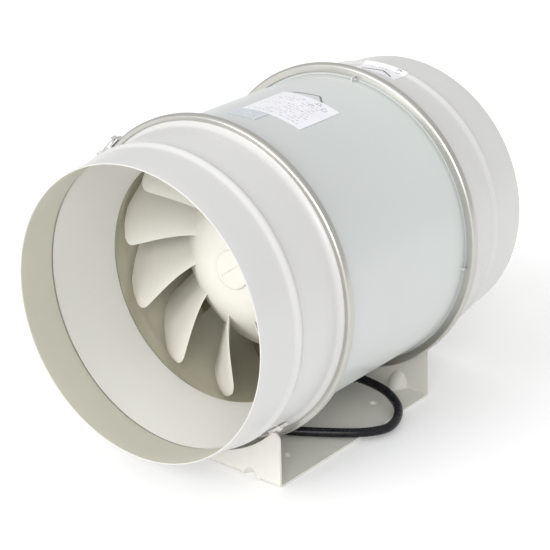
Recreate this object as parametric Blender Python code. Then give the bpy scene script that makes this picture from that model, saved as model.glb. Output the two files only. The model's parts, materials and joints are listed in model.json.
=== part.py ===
"""Inline mixed-flow duct fan on a folded sheet-steel bracket.

The fan's axis runs along Y. Air enters the spigot at -Y and leaves the one at +Y.
The origin is the middle of the bracket's underside, with +Z up. Sizes are in metres.
"""

import math

import bmesh
import bpy
from mathutils import Matrix, Vector

MM = 0.001
FULL_TURN = 2 * math.pi

# Driving dimensions
HALF_LENGTH = 187 * MM  # from the middle of the fan to either duct face
AXIS_HEIGHT = 154 * MM  # from the bracket's underside to the fan's axis
JOINT_Y = 90.5 * MM  # middle of each clamped joint, either side of the fan's middle
DUCT_RADIUS = 124 * MM  # outside of each spigot at its mouth, for a 250 mm duct
BODY_RADIUS = 130 * MM
BAND_RADIUS = 139.5 * MM
SHEET = 1.2 * MM  # casing sheet
PLATE = 2 * MM  # bracket sheet
GAP = 0.3 * MM  # air left between neighbouring pieces

# Spigots, measured inwards from the mouth
SPIGOT_BASE_RADIUS = 129.6 * MM
SPIGOT_CONE_END = 88 * MM
BEAD_START, BEAD_END = 38 * MM, 50 * MM
BEAD_HEIGHT = 2.6 * MM
SPIGOT_FLARE = ((92 * MM, 131.2 * MM), (94.2 * MM, 134 * MM))
FLANGE_RADIUS = 137 * MM
FLANGE_OPENING = 131.5 * MM

# Clamped joints, measured from the joint's middle
GASKET_HALF = 0.8 * MM
FLANGE_INNER = GASKET_HALF + GAP
FLANGE_OUTER = FLANGE_INNER + SHEET
BAND_INNER = FLANGE_OUTER + GAP
BAND_HALF = BAND_INNER + SHEET
BAND_BODY_LIP_RADIUS = 132.4 * MM  # the band's lip on the body's side of a joint
BAND_SPIGOT_LIP_RADIUS = 134.6 * MM

# Lugs that centre a clamp band
LUG_OUTWARDS, LUG_ALONG, LUG_ROUND = 5 * MM, 3 * MM, 1.6 * MM
LUG_SETBACK = 7.6 * MM  # from the joint's middle
LUG_FIRST_ANGLE = math.radians(-4)

# Inlet nozzle and impeller shroud
NOZZLE_START, NOZZLE_END = 41 * MM, 97 * MM
NOZZLE_MOUTH_RADIUS = 124.9 * MM
THROAT_RADIUS = 107 * MM
NOZZLE_CURVE = 1.35  # power of the trumpet's curve; 1 would be a straight cone
NOZZLE_WALL = 1.3 * MM
SHROUD_INSIDE = ((98.8, 107.6), (106, 113.5), (122, 120.5), (152, 126.5), (252, 126.5))
SHROUD_OUTSIDE = ((252, 128.5), (150, 128.5), (121, 122.6), (104.8, 115.7), (98.8, 110.2))

# Impeller
BLADE_COUNT = 11
FIRST_BLADE_ANGLE = math.radians(29)
ROOT_DEPTH = 1 * MM  # how deep a blade's root is sunk in the hub

# A blade's middle surface: each pair is at its leading edge, then at its trailing edge
BLADE_ROOT = (131 * MM, 172 * MM)  # from the inlet's mouth
BLADE_TIP = (105 * MM, 169 * MM)
BLADE_TIP_RADIUS = (106.2 * MM, 149.3 * MM)
BLADE_ROOT_ANGLE = (0, -19.7)  # degrees round the axis
BLADE_TIP_ANGLE = (22.3, -12.3)
BLADE_TIP_BOW = -4.5  # degrees that the tip's middle bows back
BLADE_SWEEP = 0.59  # how much sooner the blade leans near its root than near its tip
BLADE_BULGE_ALONG, BLADE_BULGE_OUT = -0.65 * MM, 0.6 * MM  # half way along its span
BLADE_CORNER_START = (0.83, 0.75)  # span at which each edge starts to round off
BLADE_CORNER_CUT = (0.18, 0.065)  # share of the chord that each corner takes
BLADE_THICKNESS = 2 * MM
TIP_GAP = 2 * MM
HUB_FACE = 122.6 * MM
CAP_FACE, CAP_RADIUS = 120.2 * MM, 17 * MM
CAP_SLOT = (24 * MM, 1.8 * MM, 1.6 * MM)  # length, twice its depth, width
CAP_SLOT_ANGLE = math.radians(30)
HUB_OUTSIDE = (
    (122.6, 16),
    (125, 33),
    (131, 47.7),
    (142, 61.5),
    (154, 74),
    (164, 83),
    (188, 90),
)
HUB_INSIDE = (
    (188, 87.3),
    (165, 80.3),
    (155.5, 72),
    (143.8, 59.7),
    (133.5, 46),
    (128.5, 33),
    (126.5, 12),
    (165, 12),
)

# Guide vanes and the cup behind the impeller
VANE_COUNT = 9
VANE_START, VANE_END = 195 * MM, 248 * MM
VANE_CURVE = math.radians(26)  # how far round a vane's front edge leads its back edge
VANE_THICKNESS = 2 * MM
VANE_ROOT_DEPTH, VANE_TIP_RADIUS = 1.2 * MM, 127.3 * MM  # sunk in the cup and in the shroud
CUP_FRONT, CUP_BACK = 190.5 * MM, 256 * MM
CUP_FRONT_RADIUS, CUP_BACK_RADIUS = 91 * MM, 85 * MM
CUP_WALL = 2.4 * MM
MOTOR_PLATE_FRONT, MOTOR_PLATE_BACK = 200 * MM, 203.7 * MM
MOTOR_PLATE_HOLE = 26 * MM

# Motor, measured from the inlet's mouth
SHAFT_RADIUS = 5 * MM
SHAFT_START, SHAFT_END = 123 * MM, 265 * MM
BEARING_RADIUS, BEARING_WIDTH = 11 * MM, 7 * MM
RUNNING_GAP = 0.15 * MM
MOTOR_RADIUS = 46 * MM
MOTOR_SHIELD_FRONT, MOTOR_CAN_START = 204 * MM, 208.3 * MM
MOTOR_CAN_END, MOTOR_END = 258 * MM, 269 * MM
MOTOR_SCREW_CIRCLE = 36 * MM
MOTOR_SCREW_RADIUS = 2 * MM

# Bracket
BRACKET_HALF_WIDTH = 90 * MM
BRACKET_HALF_LENGTH = 110 * MM
SADDLE_CENTRE_HEIGHT, SADDLE_RADIUS = 114.1 * MM, 103.5 * MM
FLANGE_TOP = 48.5 * MM
FLANGE_CORNER = 6.5 * MM
FLANGE_TAPER = 2.5 * MM
MOUNTING_HOLE_SPACING = 125 * MM
MOUNTING_HOLE_RADIUS = 3.2 * MM
GUSSET_X, GUSSET_HALF_WIDTH, GUSSET_REACH = 59 * MM, 10 * MM, 17 * MM
TAB_ANGLE = math.radians(52)  # of each spigot tab, below the horizontal
TAB_RADIUS = 130.3 * MM
TAB_Y = 103.5 * MM
RIVET_RADIUS = 2 * MM

# Latches, in the frame of the clamp band's gap: along the band, then outwards
INLET_LATCH_ANGLE, OUTLET_LATCH_ANGLE = math.radians(142.5), math.radians(214)
BAND_GAP_ANGLE = math.radians(2.5)
LEVER_PIVOT = (9 * MM, 4.2 * MM)
BAIL_PIVOT = (16.96 * MM, 3.36 * MM)
BAIL_SEAT = (-13 * MM, 2.75 * MM)
BAIL_WIRE = 0.8 * MM
BAIL_HALF_WIDTH = 6.6 * MM
BAIL_CORNER = 2 * MM
LEVER_WIDTH = 7.4 * MM
EAR_SPACING, EAR_THICKNESS = 4.8 * MM, 1.4 * MM
HORN_WIDTH = 6.4 * MM
PIN_RADIUS, PIN_HALF_LENGTH = 1.2 * MM, 5.5 * MM
BORE_HALF_LENGTH = 8 * MM
LATCH_PLATE = 1.5 * MM

# Terminal box
BOX_X, BOX_DEPTH = -90.4 * MM, 36 * MM
BOX_Y, BOX_LENGTH = -20 * MM, 110 * MM
BOX_Z, BOX_HEIGHT = 30 * MM, 52 * MM
BOX_WALL = 2 * MM
BOX_LID = 2.6 * MM
BOX_SCREW_HOLE = 2.3 * MM
SIDE_TAB_Y, SIDE_TAB_LENGTH, SIDE_TAB_HEIGHT = -5 * MM, 80 * MM, 50 * MM

# Cable
CABLE_RADIUS = 4 * MM
CABLE_REST = PLATE + CABLE_RADIUS + GAP  # centre height of cable lying on the bracket
OUTLET_Y, OUTLET_HEIGHT = 73 * MM, 15 * MM
OUTLET_END_X = 36 * MM
GLAND_Y, GLAND_HEIGHT = -55 * MM, 16 * MM
GLAND_END_X = -66 * MM
CABLE_ROUTE = (
    (OUTLET_END_X + GAP, OUTLET_Y, OUTLET_HEIGHT),
    (50 * MM, 73.5 * MM, 14.5 * MM),
    (70 * MM, 71.5 * MM, 12.5 * MM),
    (90 * MM, 60 * MM, 9.5 * MM),
    (101 * MM, 42 * MM, 7.2 * MM),
    (103 * MM, 24 * MM, 6.4 * MM),
    (94 * MM, 7 * MM, CABLE_REST),
    (78 * MM, -8 * MM, CABLE_REST),
    (58 * MM, -23 * MM, CABLE_REST),
    (38 * MM, -36 * MM, CABLE_REST),
    (14 * MM, -47 * MM, 7.6 * MM),
    (-14 * MM, -52.5 * MM, 10.8 * MM),
    (-42 * MM, -54.8 * MM, 14.6 * MM),
    (-56 * MM, GLAND_Y, 15.8 * MM),
    (GLAND_END_X + GAP, GLAND_Y, GLAND_HEIGHT),
)
CABLE_POINTS = 46

# Facets round a piece
ROUND_LARGE, ROUND_MEDIUM, ROUND_SMALL = 36, 20, 10
SHARP_ANGLE = math.radians(32)  # edges that turn more than this stay sharp
LABEL_STEPS = 6

MATERIALS = {
    "cream_paint": ((0.78, 0.76, 0.70, 1), 0.38, 0.0),
    "grey_paint": ((0.62, 0.65, 0.64, 1), 0.34, 0.0),
    "bracket_paint": ((0.62, 0.60, 0.53, 1), 0.42, 0.0),
    "impeller_plastic": ((0.76, 0.74, 0.66, 1), 0.40, 0.0),
    "band_steel": ((0.62, 0.62, 0.62, 1), 0.22, 1.0),
    "zinc_steel": ((0.60, 0.60, 0.58, 1), 0.32, 1.0),
    "shaft_steel": ((0.55, 0.56, 0.58, 1), 0.18, 1.0),
    "motor_alloy": ((0.50, 0.51, 0.52, 1), 0.45, 1.0),
    "lamination": ((0.20, 0.20, 0.21, 1), 0.50, 1.0),
    "copper": ((0.72, 0.34, 0.18, 1), 0.35, 1.0),
    "black_rubber": ((0.02, 0.02, 0.02, 1), 0.60, 0.0),
    "black_plastic": ((0.03, 0.03, 0.03, 1), 0.45, 0.0),
    "cable_sheath": ((0.015, 0.015, 0.016, 1), 0.40, 0.0),
    "grey_plastic": ((0.45, 0.46, 0.46, 1), 0.45, 0.0),
    "white_plastic": ((0.80, 0.80, 0.78, 1), 0.40, 0.0),
    "label_film": ((0.88, 0.88, 0.88, 1), 0.30, 0.0),
}


def clear_scene():
    for obj in list(bpy.data.objects):
        bpy.data.objects.remove(obj, do_unlink=True)


def material(name):
    found = bpy.data.materials.get(name)
    if found:
        return found
    colour, roughness, metallic = MATERIALS[name]
    made = bpy.data.materials.new(name)
    made.use_nodes = True
    shader = made.node_tree.nodes["Principled BSDF"]
    shader.inputs["Base Color"].default_value = colour
    shader.inputs["Roughness"].default_value = roughness
    shader.inputs["Metallic"].default_value = metallic
    return made


def finish(name, shape, look, place=None):
    """Turn a bmesh into a named object, with its faces pointing out and its round sides smooth."""
    bmesh.ops.recalc_face_normals(shape, faces=shape.faces)
    mesh = bpy.data.meshes.new(name)
    shape.to_mesh(mesh)
    shape.free()
    mesh.shade_smooth()
    mesh.set_sharp_from_angle(angle=SHARP_ANGLE)
    mesh.materials.append(material(look))
    obj = bpy.data.objects.new(name, mesh)
    obj.matrix_world = place or Matrix.Identity(4)
    bpy.context.scene.collection.objects.link(obj)
    return obj


def helper(obj):
    """Mark a cutter or a piece that is merged into another one."""
    obj.hide_render = True
    obj.display_type = "WIRE"
    return obj


def combine(obj, other, operation):
    modifier = obj.modifiers.new(operation.lower(), "BOOLEAN")
    modifier.operation = operation
    modifier.solver = "EXACT"
    modifier.object = helper(other)
    return obj


def cut(obj, other):
    return combine(obj, other, "DIFFERENCE")


def add(obj, other):
    return combine(obj, other, "UNION")


def spun(shape, outline, segments, start=0.0, sweep=FULL_TURN):
    """Turn an outline of (along, radius) pairs about the Y axis, inside a bmesh."""
    on_axis = outline[0][1] == 0 and outline[-1][1] == 0
    verts = []
    for along, radius in outline:
        spot = (radius * math.cos(start), along, radius * math.sin(start))
        verts.append(shape.verts.new(spot))
    pairs = list(zip(verts, verts[1:]))
    if not on_axis:
        pairs.append((verts[-1], verts[0]))
    edges = [shape.edges.new(pair) for pair in pairs]
    whole = abs(sweep - FULL_TURN) < 1e-9
    if not whole:
        first_cap = list(verts)
    turned_round = bmesh.ops.spin(
        shape,
        geom=verts + edges,
        cent=(0, 0, 0),
        axis=(0, 1, 0),
        dvec=(0, 0, 0),
        angle=-sweep,
        steps=segments,
        use_merge=whole,
    )
    if whole:
        bmesh.ops.remove_doubles(shape, verts=shape.verts, dist=1e-6)
    else:
        last_cap = [item for item in turned_round["geom_last"] if isinstance(item, bmesh.types.BMVert)]
        shape.faces.new(first_cap)
        shape.faces.new(last_cap)


def on_fan_axis():
    return Matrix.Translation((0, 0, AXIS_HEIGHT))


def turned(name, outline, look, segments=ROUND_LARGE, start=0.0, sweep=FULL_TURN, place=None):
    """A piece turned about the fan's axis, or about the Y axis of another place."""
    shape = bmesh.new()
    spun(shape, outline, segments, start, sweep)
    return finish(name, shape, look, place or on_fan_axis())


def block(name, size, look, place):
    shape = bmesh.new()
    bmesh.ops.create_cube(shape, size=1, matrix=Matrix.Diagonal((*size, 1)))
    return finish(name, shape, look, place)


def prism(name, outline, depth, look, place):
    """An outline in the XZ plane, extruded evenly to both sides along Y."""
    shape = bmesh.new()
    verts = [shape.verts.new((x, -depth / 2, z)) for x, z in outline]
    face = shape.faces.new(verts)
    pushed = bmesh.ops.extrude_face_region(shape, geom=[face])
    moved = [item for item in pushed["geom"] if isinstance(item, bmesh.types.BMVert)]
    bmesh.ops.translate(shape, verts=moved, vec=(0, depth, 0))
    return finish(name, shape, look, place)


def rods(name, ends, radius, segments=ROUND_SMALL, look="zinc_steel"):
    """Plain round rods between pairs of points, in one object."""
    shape = bmesh.new()
    for first, second in ends:
        first, second = Vector(first), Vector(second)
        along = second - first
        turn = along.to_track_quat("Z", "Y").to_matrix().to_4x4()
        place = Matrix.Translation((first + second) / 2) @ turn
        bmesh.ops.create_cone(
            shape,
            cap_ends=True,
            segments=segments,
            radius1=radius,
            radius2=radius,
            depth=along.length,
            matrix=place,
        )
    return finish(name, shape, look)


def arc(centre, radius, first, last, steps):
    """Points on an arc in the XZ plane, from one angle to another in degrees."""
    found = []
    for step in range(steps + 1):
        angle = math.radians(first + (last - first) * step / steps)
        found.append((centre[0] + radius * math.cos(angle), centre[1] + radius * math.sin(angle)))
    return found


def between(ends, share):
    return ends[0] + (ends[1] - ends[0]) * share


def behind_inlet(distance):
    """Y of a place this far behind the inlet's mouth."""
    return distance - HALF_LENGTH


def in_mm(pairs):
    """(distance behind the inlet's mouth, radius) pairs in millimetres, as (y, radius) in metres."""
    return [(behind_inlet(distance * MM), radius * MM) for distance, radius in pairs]


def facing(direction, up="Z"):
    return Vector(direction).to_track_quat("Y", up).to_matrix().to_4x4()


# Spigots and casing


def spigot_radius(distance):
    """Outside radius of a spigot this far in from its mouth: a slight cone with one raised bead."""
    radius = DUCT_RADIUS + (SPIGOT_BASE_RADIUS - DUCT_RADIUS) * distance / SPIGOT_CONE_END
    if BEAD_START < distance < BEAD_END:
        share = (distance - BEAD_START) / (BEAD_END - BEAD_START)
        radius += BEAD_HEIGHT * (1 - math.cos(FULL_TURN * share)) / 2
    return radius


def spigot(name, side):
    """A spigot whose mouth is at -Y for side -1 and at +Y for side +1."""
    half_bead = (BEAD_END - BEAD_START) / 2
    stations = [0.0] + [BEAD_START + half_bead * step for step in range(3)] + [SPIGOT_CONE_END]
    outside = [(distance, spigot_radius(distance)) for distance in stations] + list(SPIGOT_FLARE)
    flange_front = HALF_LENGTH - JOINT_Y - FLANGE_OUTER
    flange_back = flange_front + SHEET
    rim = [
        (flange_front, FLANGE_RADIUS),
        (flange_back, FLANGE_RADIUS),
        (flange_back, FLANGE_OPENING),
        (SPIGOT_FLARE[0][0], SPIGOT_FLARE[0][1] - SHEET),
    ]
    inside = [(distance, spigot_radius(distance) - SHEET) for distance in reversed(stations)]
    outline = [(side * (HALF_LENGTH - distance), radius) for distance, radius in outside + rim + inside]
    shell = turned(name, outline, "cream_paint")
    for hand in (-1, 1):
        cut(shell, radial_rod(name + "_hole", hand, side * TAB_Y, RIVET_RADIUS + GAP))
    return shell


def tab_direction(hand):
    return Vector((hand * math.cos(TAB_ANGLE), 0, -math.sin(TAB_ANGLE)))


def radial_rod(name, hand, y, radius):
    centre = Vector((0, y, AXIS_HEIGHT))
    first = centre + tab_direction(hand) * (TAB_RADIUS - 10 * MM)
    second = centre + tab_direction(hand) * (TAB_RADIUS + 10 * MM)
    return rods(name, [(first, second)], radius, segments=8)


def body_casing():
    flange_outer = JOINT_Y - FLANGE_INNER
    flange_inner = JOINT_Y - FLANGE_OUTER
    bore = BODY_RADIUS - SHEET
    outline = [
        (-flange_outer, bore),
        (-flange_outer, FLANGE_RADIUS),
        (-flange_inner, FLANGE_RADIUS),
        (-flange_inner, BODY_RADIUS),
        (flange_inner, BODY_RADIUS),
        (flange_inner, FLANGE_RADIUS),
        (flange_outer, FLANGE_RADIUS),
        (flange_outer, bore),
    ]
    shell = turned("body_casing", outline, "grey_paint")
    for side in (-1, 1):
        add(shell, locating_lugs(side))
    lead_hole = rods("lead_hole", [((0, OUTLET_Y, 15 * MM), (0, OUTLET_Y, 32 * MM))], CABLE_RADIUS + GAP)
    return cut(shell, lead_hole)


def locating_lugs(side):
    """Four small lugs that centre the clamp band, a quarter turn apart."""
    shape = bmesh.new()
    for quarter in range(4):
        angle = LUG_FIRST_ANGLE + quarter * math.pi / 2
        size = Matrix.Diagonal((LUG_OUTWARDS, LUG_ALONG, LUG_ROUND, 1))
        spot = Matrix.Translation((BODY_RADIUS + LUG_ROUND, side * (JOINT_Y - LUG_SETBACK), 0))
        turn = Matrix.Rotation(-angle, 4, "Y")
        bmesh.ops.create_cube(shape, size=1, matrix=turn @ spot @ size)
    return finish("locating_lugs", shape, "grey_paint", on_fan_axis())


def joint_gasket(name, side):
    """The flat gasket between a joint's two flanges."""
    face = side * JOINT_Y
    outline = [
        (face - GASKET_HALF, FLANGE_OPENING),
        (face - GASKET_HALF, FLANGE_RADIUS - SHEET),
        (face + GASKET_HALF, FLANGE_RADIUS - SHEET),
        (face + GASKET_HALF, FLANGE_OPENING),
    ]
    turned(name, outline, "black_rubber", ROUND_MEDIUM)


def latch_angle(side):
    return INLET_LATCH_ANGLE if side < 0 else OUTLET_LATCH_ANGLE


def clamp_band(name, side):
    """A channel-section steel band, open at the latch."""
    face = side * JOINT_Y
    outline = [
        (face - side * BAND_HALF, BAND_BODY_LIP_RADIUS),
        (face - side * BAND_HALF, BAND_RADIUS),
        (face + side * BAND_HALF, BAND_RADIUS),
        (face + side * BAND_HALF, BAND_SPIGOT_LIP_RADIUS),
        (face + side * BAND_INNER, BAND_SPIGOT_LIP_RADIUS),
        (face + side * BAND_INNER, BAND_RADIUS - SHEET),
        (face - side * BAND_INNER, BAND_RADIUS - SHEET),
        (face - side * BAND_INNER, BAND_BODY_LIP_RADIUS),
    ]
    start = latch_angle(side) + BAND_GAP_ANGLE / 2
    return turned(name, outline, "band_steel", ROUND_LARGE, start, FULL_TURN - BAND_GAP_ANGLE)


# Latches


def latch_frame(side):
    """X along the band, Z outwards, with its origin on the band's outside at the gap."""
    sine, cosine = math.sin(latch_angle(side)), math.cos(latch_angle(side))
    turn = Matrix(((-sine, 0, cosine), (0, -1, 0), (cosine, 0, sine))).to_4x4()
    spot = Vector((BAND_RADIUS * cosine, side * JOINT_Y, AXIS_HEIGHT + BAND_RADIUS * sine))
    return Matrix.Translation(spot) @ turn


def band_plate(name, side, first, last, half_width):
    """A curved plate riveted on the band, between two angles from the middle of the gap in degrees."""
    face = side * JOINT_Y
    inner = BAND_RADIUS + GAP
    outer = inner + LATCH_PLATE
    outline = [
        (face - half_width, inner),
        (face - half_width, outer),
        (face + half_width, outer),
        (face + half_width, inner),
    ]
    start = latch_angle(side) + math.radians(first)
    return turned(name, outline, "zinc_steel", 4, start, math.radians(last - first))


def shifted(frame, point):
    return frame @ Matrix.Translation((point[0], 0, point[1]))


def latch_hook(name, side):
    frame = latch_frame(side)
    hook_outline = [
        (-12 * MM, 0.4 * MM),
        (-9 * MM, 0.6 * MM),
        (-9.6 * MM, 5.2 * MM),
        (-10.6 * MM, 6 * MM),
        (-12 * MM, 6 * MM),
    ]
    plate = band_plate(name, side, -6.6, -1.6, 3.6 * MM)
    return add(plate, prism(name + "_horn", hook_outline, HORN_WIDTH, "zinc_steel", frame))


def latch_base(name, side):
    frame = latch_frame(side)
    plate = band_plate(name, side, 1.6, 10.5, 5.6 * MM)
    ear = [(4 * MM, 0.8 * MM), (14 * MM, 0.4 * MM)] + arc(LEVER_PIVOT, 3.4 * MM, 0, 180, 6)
    for hand in (-1, 1):
        place = frame @ Matrix.Translation((0, hand * EAR_SPACING, 0))
        add(plate, prism(f"{name}_ear_{hand + 1}", ear, EAR_THICKNESS, "zinc_steel", place))
    bore = rods(name + "_bore", pin_ends(frame, LEVER_PIVOT, BORE_HALF_LENGTH), PIN_RADIUS + GAP)
    return cut(plate, bore)


def pin_ends(frame, point, half_length):
    first = frame @ Vector((point[0], -half_length, point[1]))
    second = frame @ Vector((point[0], half_length, point[1]))
    return [(first, second)]


def latch_lever(name, side):
    """The over-centre lever, with its own origin on its pivot."""
    frame = latch_frame(side)
    rounded_end = arc(LEVER_PIVOT, 2.4 * MM, 90, 270, 6)
    outline = rounded_end + [
        (17 * MM, 1.5 * MM),
        (21 * MM, 1.2 * MM),
        (36 * MM, -2.2 * MM),
        (38 * MM, -0.8 * MM),
        (37 * MM, 0.8 * MM),
        (21 * MM, 5.8 * MM),
    ]
    from_pivot = [(x - LEVER_PIVOT[0], z - LEVER_PIVOT[1]) for x, z in outline]
    lever = prism(name, from_pivot, LEVER_WIDTH, "zinc_steel", shifted(frame, LEVER_PIVOT))
    cut(lever, rods(name + "_pin_bore", pin_ends(frame, LEVER_PIVOT, BORE_HALF_LENGTH), PIN_RADIUS + GAP))
    bail_ends = pin_ends(frame, BAIL_PIVOT, BORE_HALF_LENGTH)
    return cut(lever, rods(name + "_bail_bore", bail_ends, BAIL_WIRE + GAP))


def latch_bail(name, side):
    """A closed loop of wire from the lever to the hook, with its own origin on its pivot in the lever."""
    reach = math.hypot(BAIL_PIVOT[0] - BAIL_SEAT[0], BAIL_PIVOT[1] - BAIL_SEAT[1])
    slope = math.atan2(BAIL_PIVOT[1] - BAIL_SEAT[1], BAIL_PIVOT[0] - BAIL_SEAT[0])
    place = shifted(latch_frame(side), BAIL_PIVOT) @ Matrix.Rotation(-slope, 4, "Y")
    corner = BAIL_CORNER
    path = []
    corners = ((-corner, 1, 0), (corner - reach, 1, 90), (corner - reach, -1, 180), (-corner, -1, 270))
    for x, hand, first in corners:
        centre = (x, hand * (BAIL_HALF_WIDTH - corner))
        path += arc(centre, corner, first, first + 90, 2)
    return finish(name, wire_loop(path, BAIL_WIRE, 6), "zinc_steel", place)


def wire_loop(points, radius, sides):
    """A round wire along a closed loop in the XY plane."""
    shape = bmesh.new()
    rings = []
    count = len(points)
    for index, point in enumerate(points):
        before, after = Vector(points[index - 1]), Vector(points[(index + 1) % count])
        along = (after - before).normalized()
        outwards = Vector((along.y, -along.x))
        bend = abs((Vector(point) - before).normalized().dot(along))
        wide = radius / max(bend, 0.7)
        ring = []
        for side in range(sides):
            angle = FULL_TURN * side / sides
            flat = Vector(point) + outwards * wide * math.cos(angle)
            ring.append(shape.verts.new((flat.x, flat.y, radius * math.sin(angle))))
        rings.append(ring)
    for index, ring in enumerate(rings):
        following = rings[(index + 1) % count]
        for side in range(sides):
            other = (side + 1) % sides
            shape.faces.new((ring[side], ring[other], following[other], following[side]))
    return shape


def latch(name, side):
    latch_hook(name + "_latch_hook", side)
    latch_base(name + "_latch_base", side)
    latch_lever(name + "_latch_lever", side)
    latch_bail(name + "_latch_bail", side)
    ends = pin_ends(latch_frame(side), LEVER_PIVOT, PIN_HALF_LENGTH)
    rods(name + "_latch_pin", ends, PIN_RADIUS)


# Air path


def inlet_nozzle():
    """A trumpet that narrows from the spigot's bead to the impeller's throat."""
    inside, outside = [], []
    steps = 4
    for step in range(steps + 1):
        share = step / steps
        y = behind_inlet(NOZZLE_START + (NOZZLE_END - NOZZLE_START) * share)
        radius = THROAT_RADIUS + (NOZZLE_MOUTH_RADIUS - THROAT_RADIUS) * (1 - share) ** NOZZLE_CURVE
        inside.append((y, radius))
        outside.append((y, radius + NOZZLE_WALL))
    return turned("inlet_nozzle", inside + outside[::-1], "cream_paint")


def cup_radius(distance):
    share = (distance - CUP_FRONT) / (CUP_BACK - CUP_FRONT)
    return between((CUP_FRONT_RADIUS, CUP_BACK_RADIUS), share)


def guide_vane_housing():
    """The shroud ring, the vanes and the motor's cup, moulded in one."""
    ring = turned("guide_vane_housing", in_mm(SHROUD_INSIDE + SHROUD_OUTSIDE), "grey_plastic")
    add(ring, guide_vanes())
    front, back = behind_inlet(CUP_FRONT), behind_inlet(CUP_BACK)
    plate_front, plate_back = behind_inlet(MOTOR_PLATE_FRONT), behind_inlet(MOTOR_PLATE_BACK)
    wall_front = cup_radius(MOTOR_PLATE_FRONT) - CUP_WALL
    wall_back = cup_radius(MOTOR_PLATE_BACK) - CUP_WALL
    cup = [
        (front, CUP_FRONT_RADIUS),
        (back, CUP_BACK_RADIUS),
        (back, CUP_BACK_RADIUS - CUP_WALL),
        (plate_back, wall_back),
        (plate_back, MOTOR_PLATE_HOLE),
        (plate_front, MOTOR_PLATE_HOLE),
        (plate_front, wall_front),
        (front, CUP_FRONT_RADIUS - CUP_WALL),
    ]
    add(ring, turned("motor_cup", cup, "grey_plastic"))
    return cut(ring, motor_screw_bores("motor_plate_bores", 190 * MM, 207 * MM))


def guide_vanes():
    """Curved vanes that straighten the swirl, running from the cup to the shroud."""
    shape = bmesh.new()
    stations = 4
    for vane in range(VANE_COUNT):
        grid = []
        for step in range(stations):
            share = step / (stations - 1)
            distance = between((VANE_START, VANE_END), share)
            angle = FULL_TURN * vane / VANE_COUNT + VANE_CURVE * (1 - share) ** 2
            y = behind_inlet(distance)
            edge = []
            for radius in (cup_radius(distance) - VANE_ROOT_DEPTH, VANE_TIP_RADIUS):
                edge.append(shape.verts.new((radius * math.cos(angle), y, radius * math.sin(angle))))
            grid.append(edge)
        for near, far in zip(grid, grid[1:]):
            shape.faces.new((near[0], near[1], far[1], far[0]))
    vanes = finish("guide_vanes", shape, "grey_plastic", on_fan_axis())
    return thickened(vanes, VANE_THICKNESS)


def thickened(obj, thickness):
    modifier = obj.modifiers.new("thickness", "SOLIDIFY")
    modifier.thickness = thickness
    modifier.offset = 0
    return obj


def read_outline(outline, distance):
    """The radius that an outline of (distance, radius) pairs has at a distance."""
    stations = [(along * MM, radius * MM) for along, radius in outline]
    for (near, first), (far, last) in zip(stations, stations[1:]):
        if distance <= far:
            return first + (last - first) * (distance - near) / (far - near)
    return stations[-1][1]


def shroud_radius(distance):
    return read_outline(SHROUD_INSIDE, distance)


def hub_radius(distance):
    return read_outline(HUB_OUTSIDE, distance)


def corner_turn(span, start):
    """How far a blade's edge has turned in at its tip, along a quarter of an ellipse."""
    reach = max(0.0, span - start) / (1 - start)
    return 1 - math.sqrt(max(0.0, 1 - reach**2))


def blade_point(chord, span):
    """A point on a blade's middle surface: chord 0 is the leading edge, span 0 is the hub."""
    leading_cut = BLADE_CORNER_CUT[0] * (1 - chord) * corner_turn(span, BLADE_CORNER_START[0])
    trailing_cut = BLADE_CORNER_CUT[1] * chord * corner_turn(span, BLADE_CORNER_START[1])
    chord += leading_cut - trailing_cut
    root, tip = between(BLADE_ROOT, chord), between(BLADE_TIP, chord)
    root_radius = hub_radius(root) - ROOT_DEPTH
    tip_radius = min(shroud_radius(tip) - TIP_GAP, between(BLADE_TIP_RADIUS, chord))
    bulge = 4 * span * (1 - span)
    distance = between((root, tip), span) + BLADE_BULGE_ALONG * bulge
    radius = between((root_radius, tip_radius), span) + BLADE_BULGE_OUT * bulge
    bow = 4 * chord * (1 - chord) * BLADE_TIP_BOW
    angles = (between(BLADE_ROOT_ANGLE, chord), between(BLADE_TIP_ANGLE, chord) + bow)
    lean = span * (1 + BLADE_SWEEP - BLADE_SWEEP * span)
    return distance, radius, math.radians(between(angles, lean))


def impeller_blades():
    shape = bmesh.new()
    chords, spans = 4, 8
    for blade in range(BLADE_COUNT):
        grid = []
        for i in range(chords):
            row = []
            for j in range(spans):
                distance, radius, angle = blade_point(i / (chords - 1), j / (spans - 1))
                angle += FIRST_BLADE_ANGLE + FULL_TURN * blade / BLADE_COUNT
                spot = (radius * math.cos(angle), behind_inlet(distance), radius * math.sin(angle))
                row.append(shape.verts.new(spot))
            grid.append(row)
        for near, far in zip(grid, grid[1:]):
            for j in range(spans - 1):
                shape.faces.new((near[j], near[j + 1], far[j + 1], far[j]))
    blades = finish("impeller_blades", shape, "impeller_plastic", on_fan_axis())
    return thickened(blades, BLADE_THICKNESS)


def impeller():
    bore = SHAFT_RADIUS + GAP
    sleeve_end = behind_inlet(HUB_INSIDE[-1][0] * MM)
    bore_line = [(sleeve_end, bore), (behind_inlet(HUB_FACE), bore)]
    hub = turned("impeller", in_mm(HUB_OUTSIDE + HUB_INSIDE) + bore_line, "impeller_plastic")
    return add(hub, impeller_blades())


def hub_cap():
    """The flat cap over the shaft's end, with a slot across its face."""
    front, back = behind_inlet(CAP_FACE), behind_inlet(HUB_FACE - GAP)
    outline = [
        (front, 0),
        (front, CAP_RADIUS - 2 * MM),
        (front + 0.7 * MM, CAP_RADIUS - 0.4 * MM),
        (front + 1.4 * MM, CAP_RADIUS),
        (back, CAP_RADIUS),
        (back, 0),
    ]
    cap = turned("impeller_cap", outline, "impeller_plastic", ROUND_MEDIUM)
    place = on_fan_axis() @ Matrix.Translation((0, front, 0)) @ Matrix.Rotation(CAP_SLOT_ANGLE, 4, "Y")
    return cut(cap, block("cap_slot", CAP_SLOT, "impeller_plastic", place))


# Motor


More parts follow.
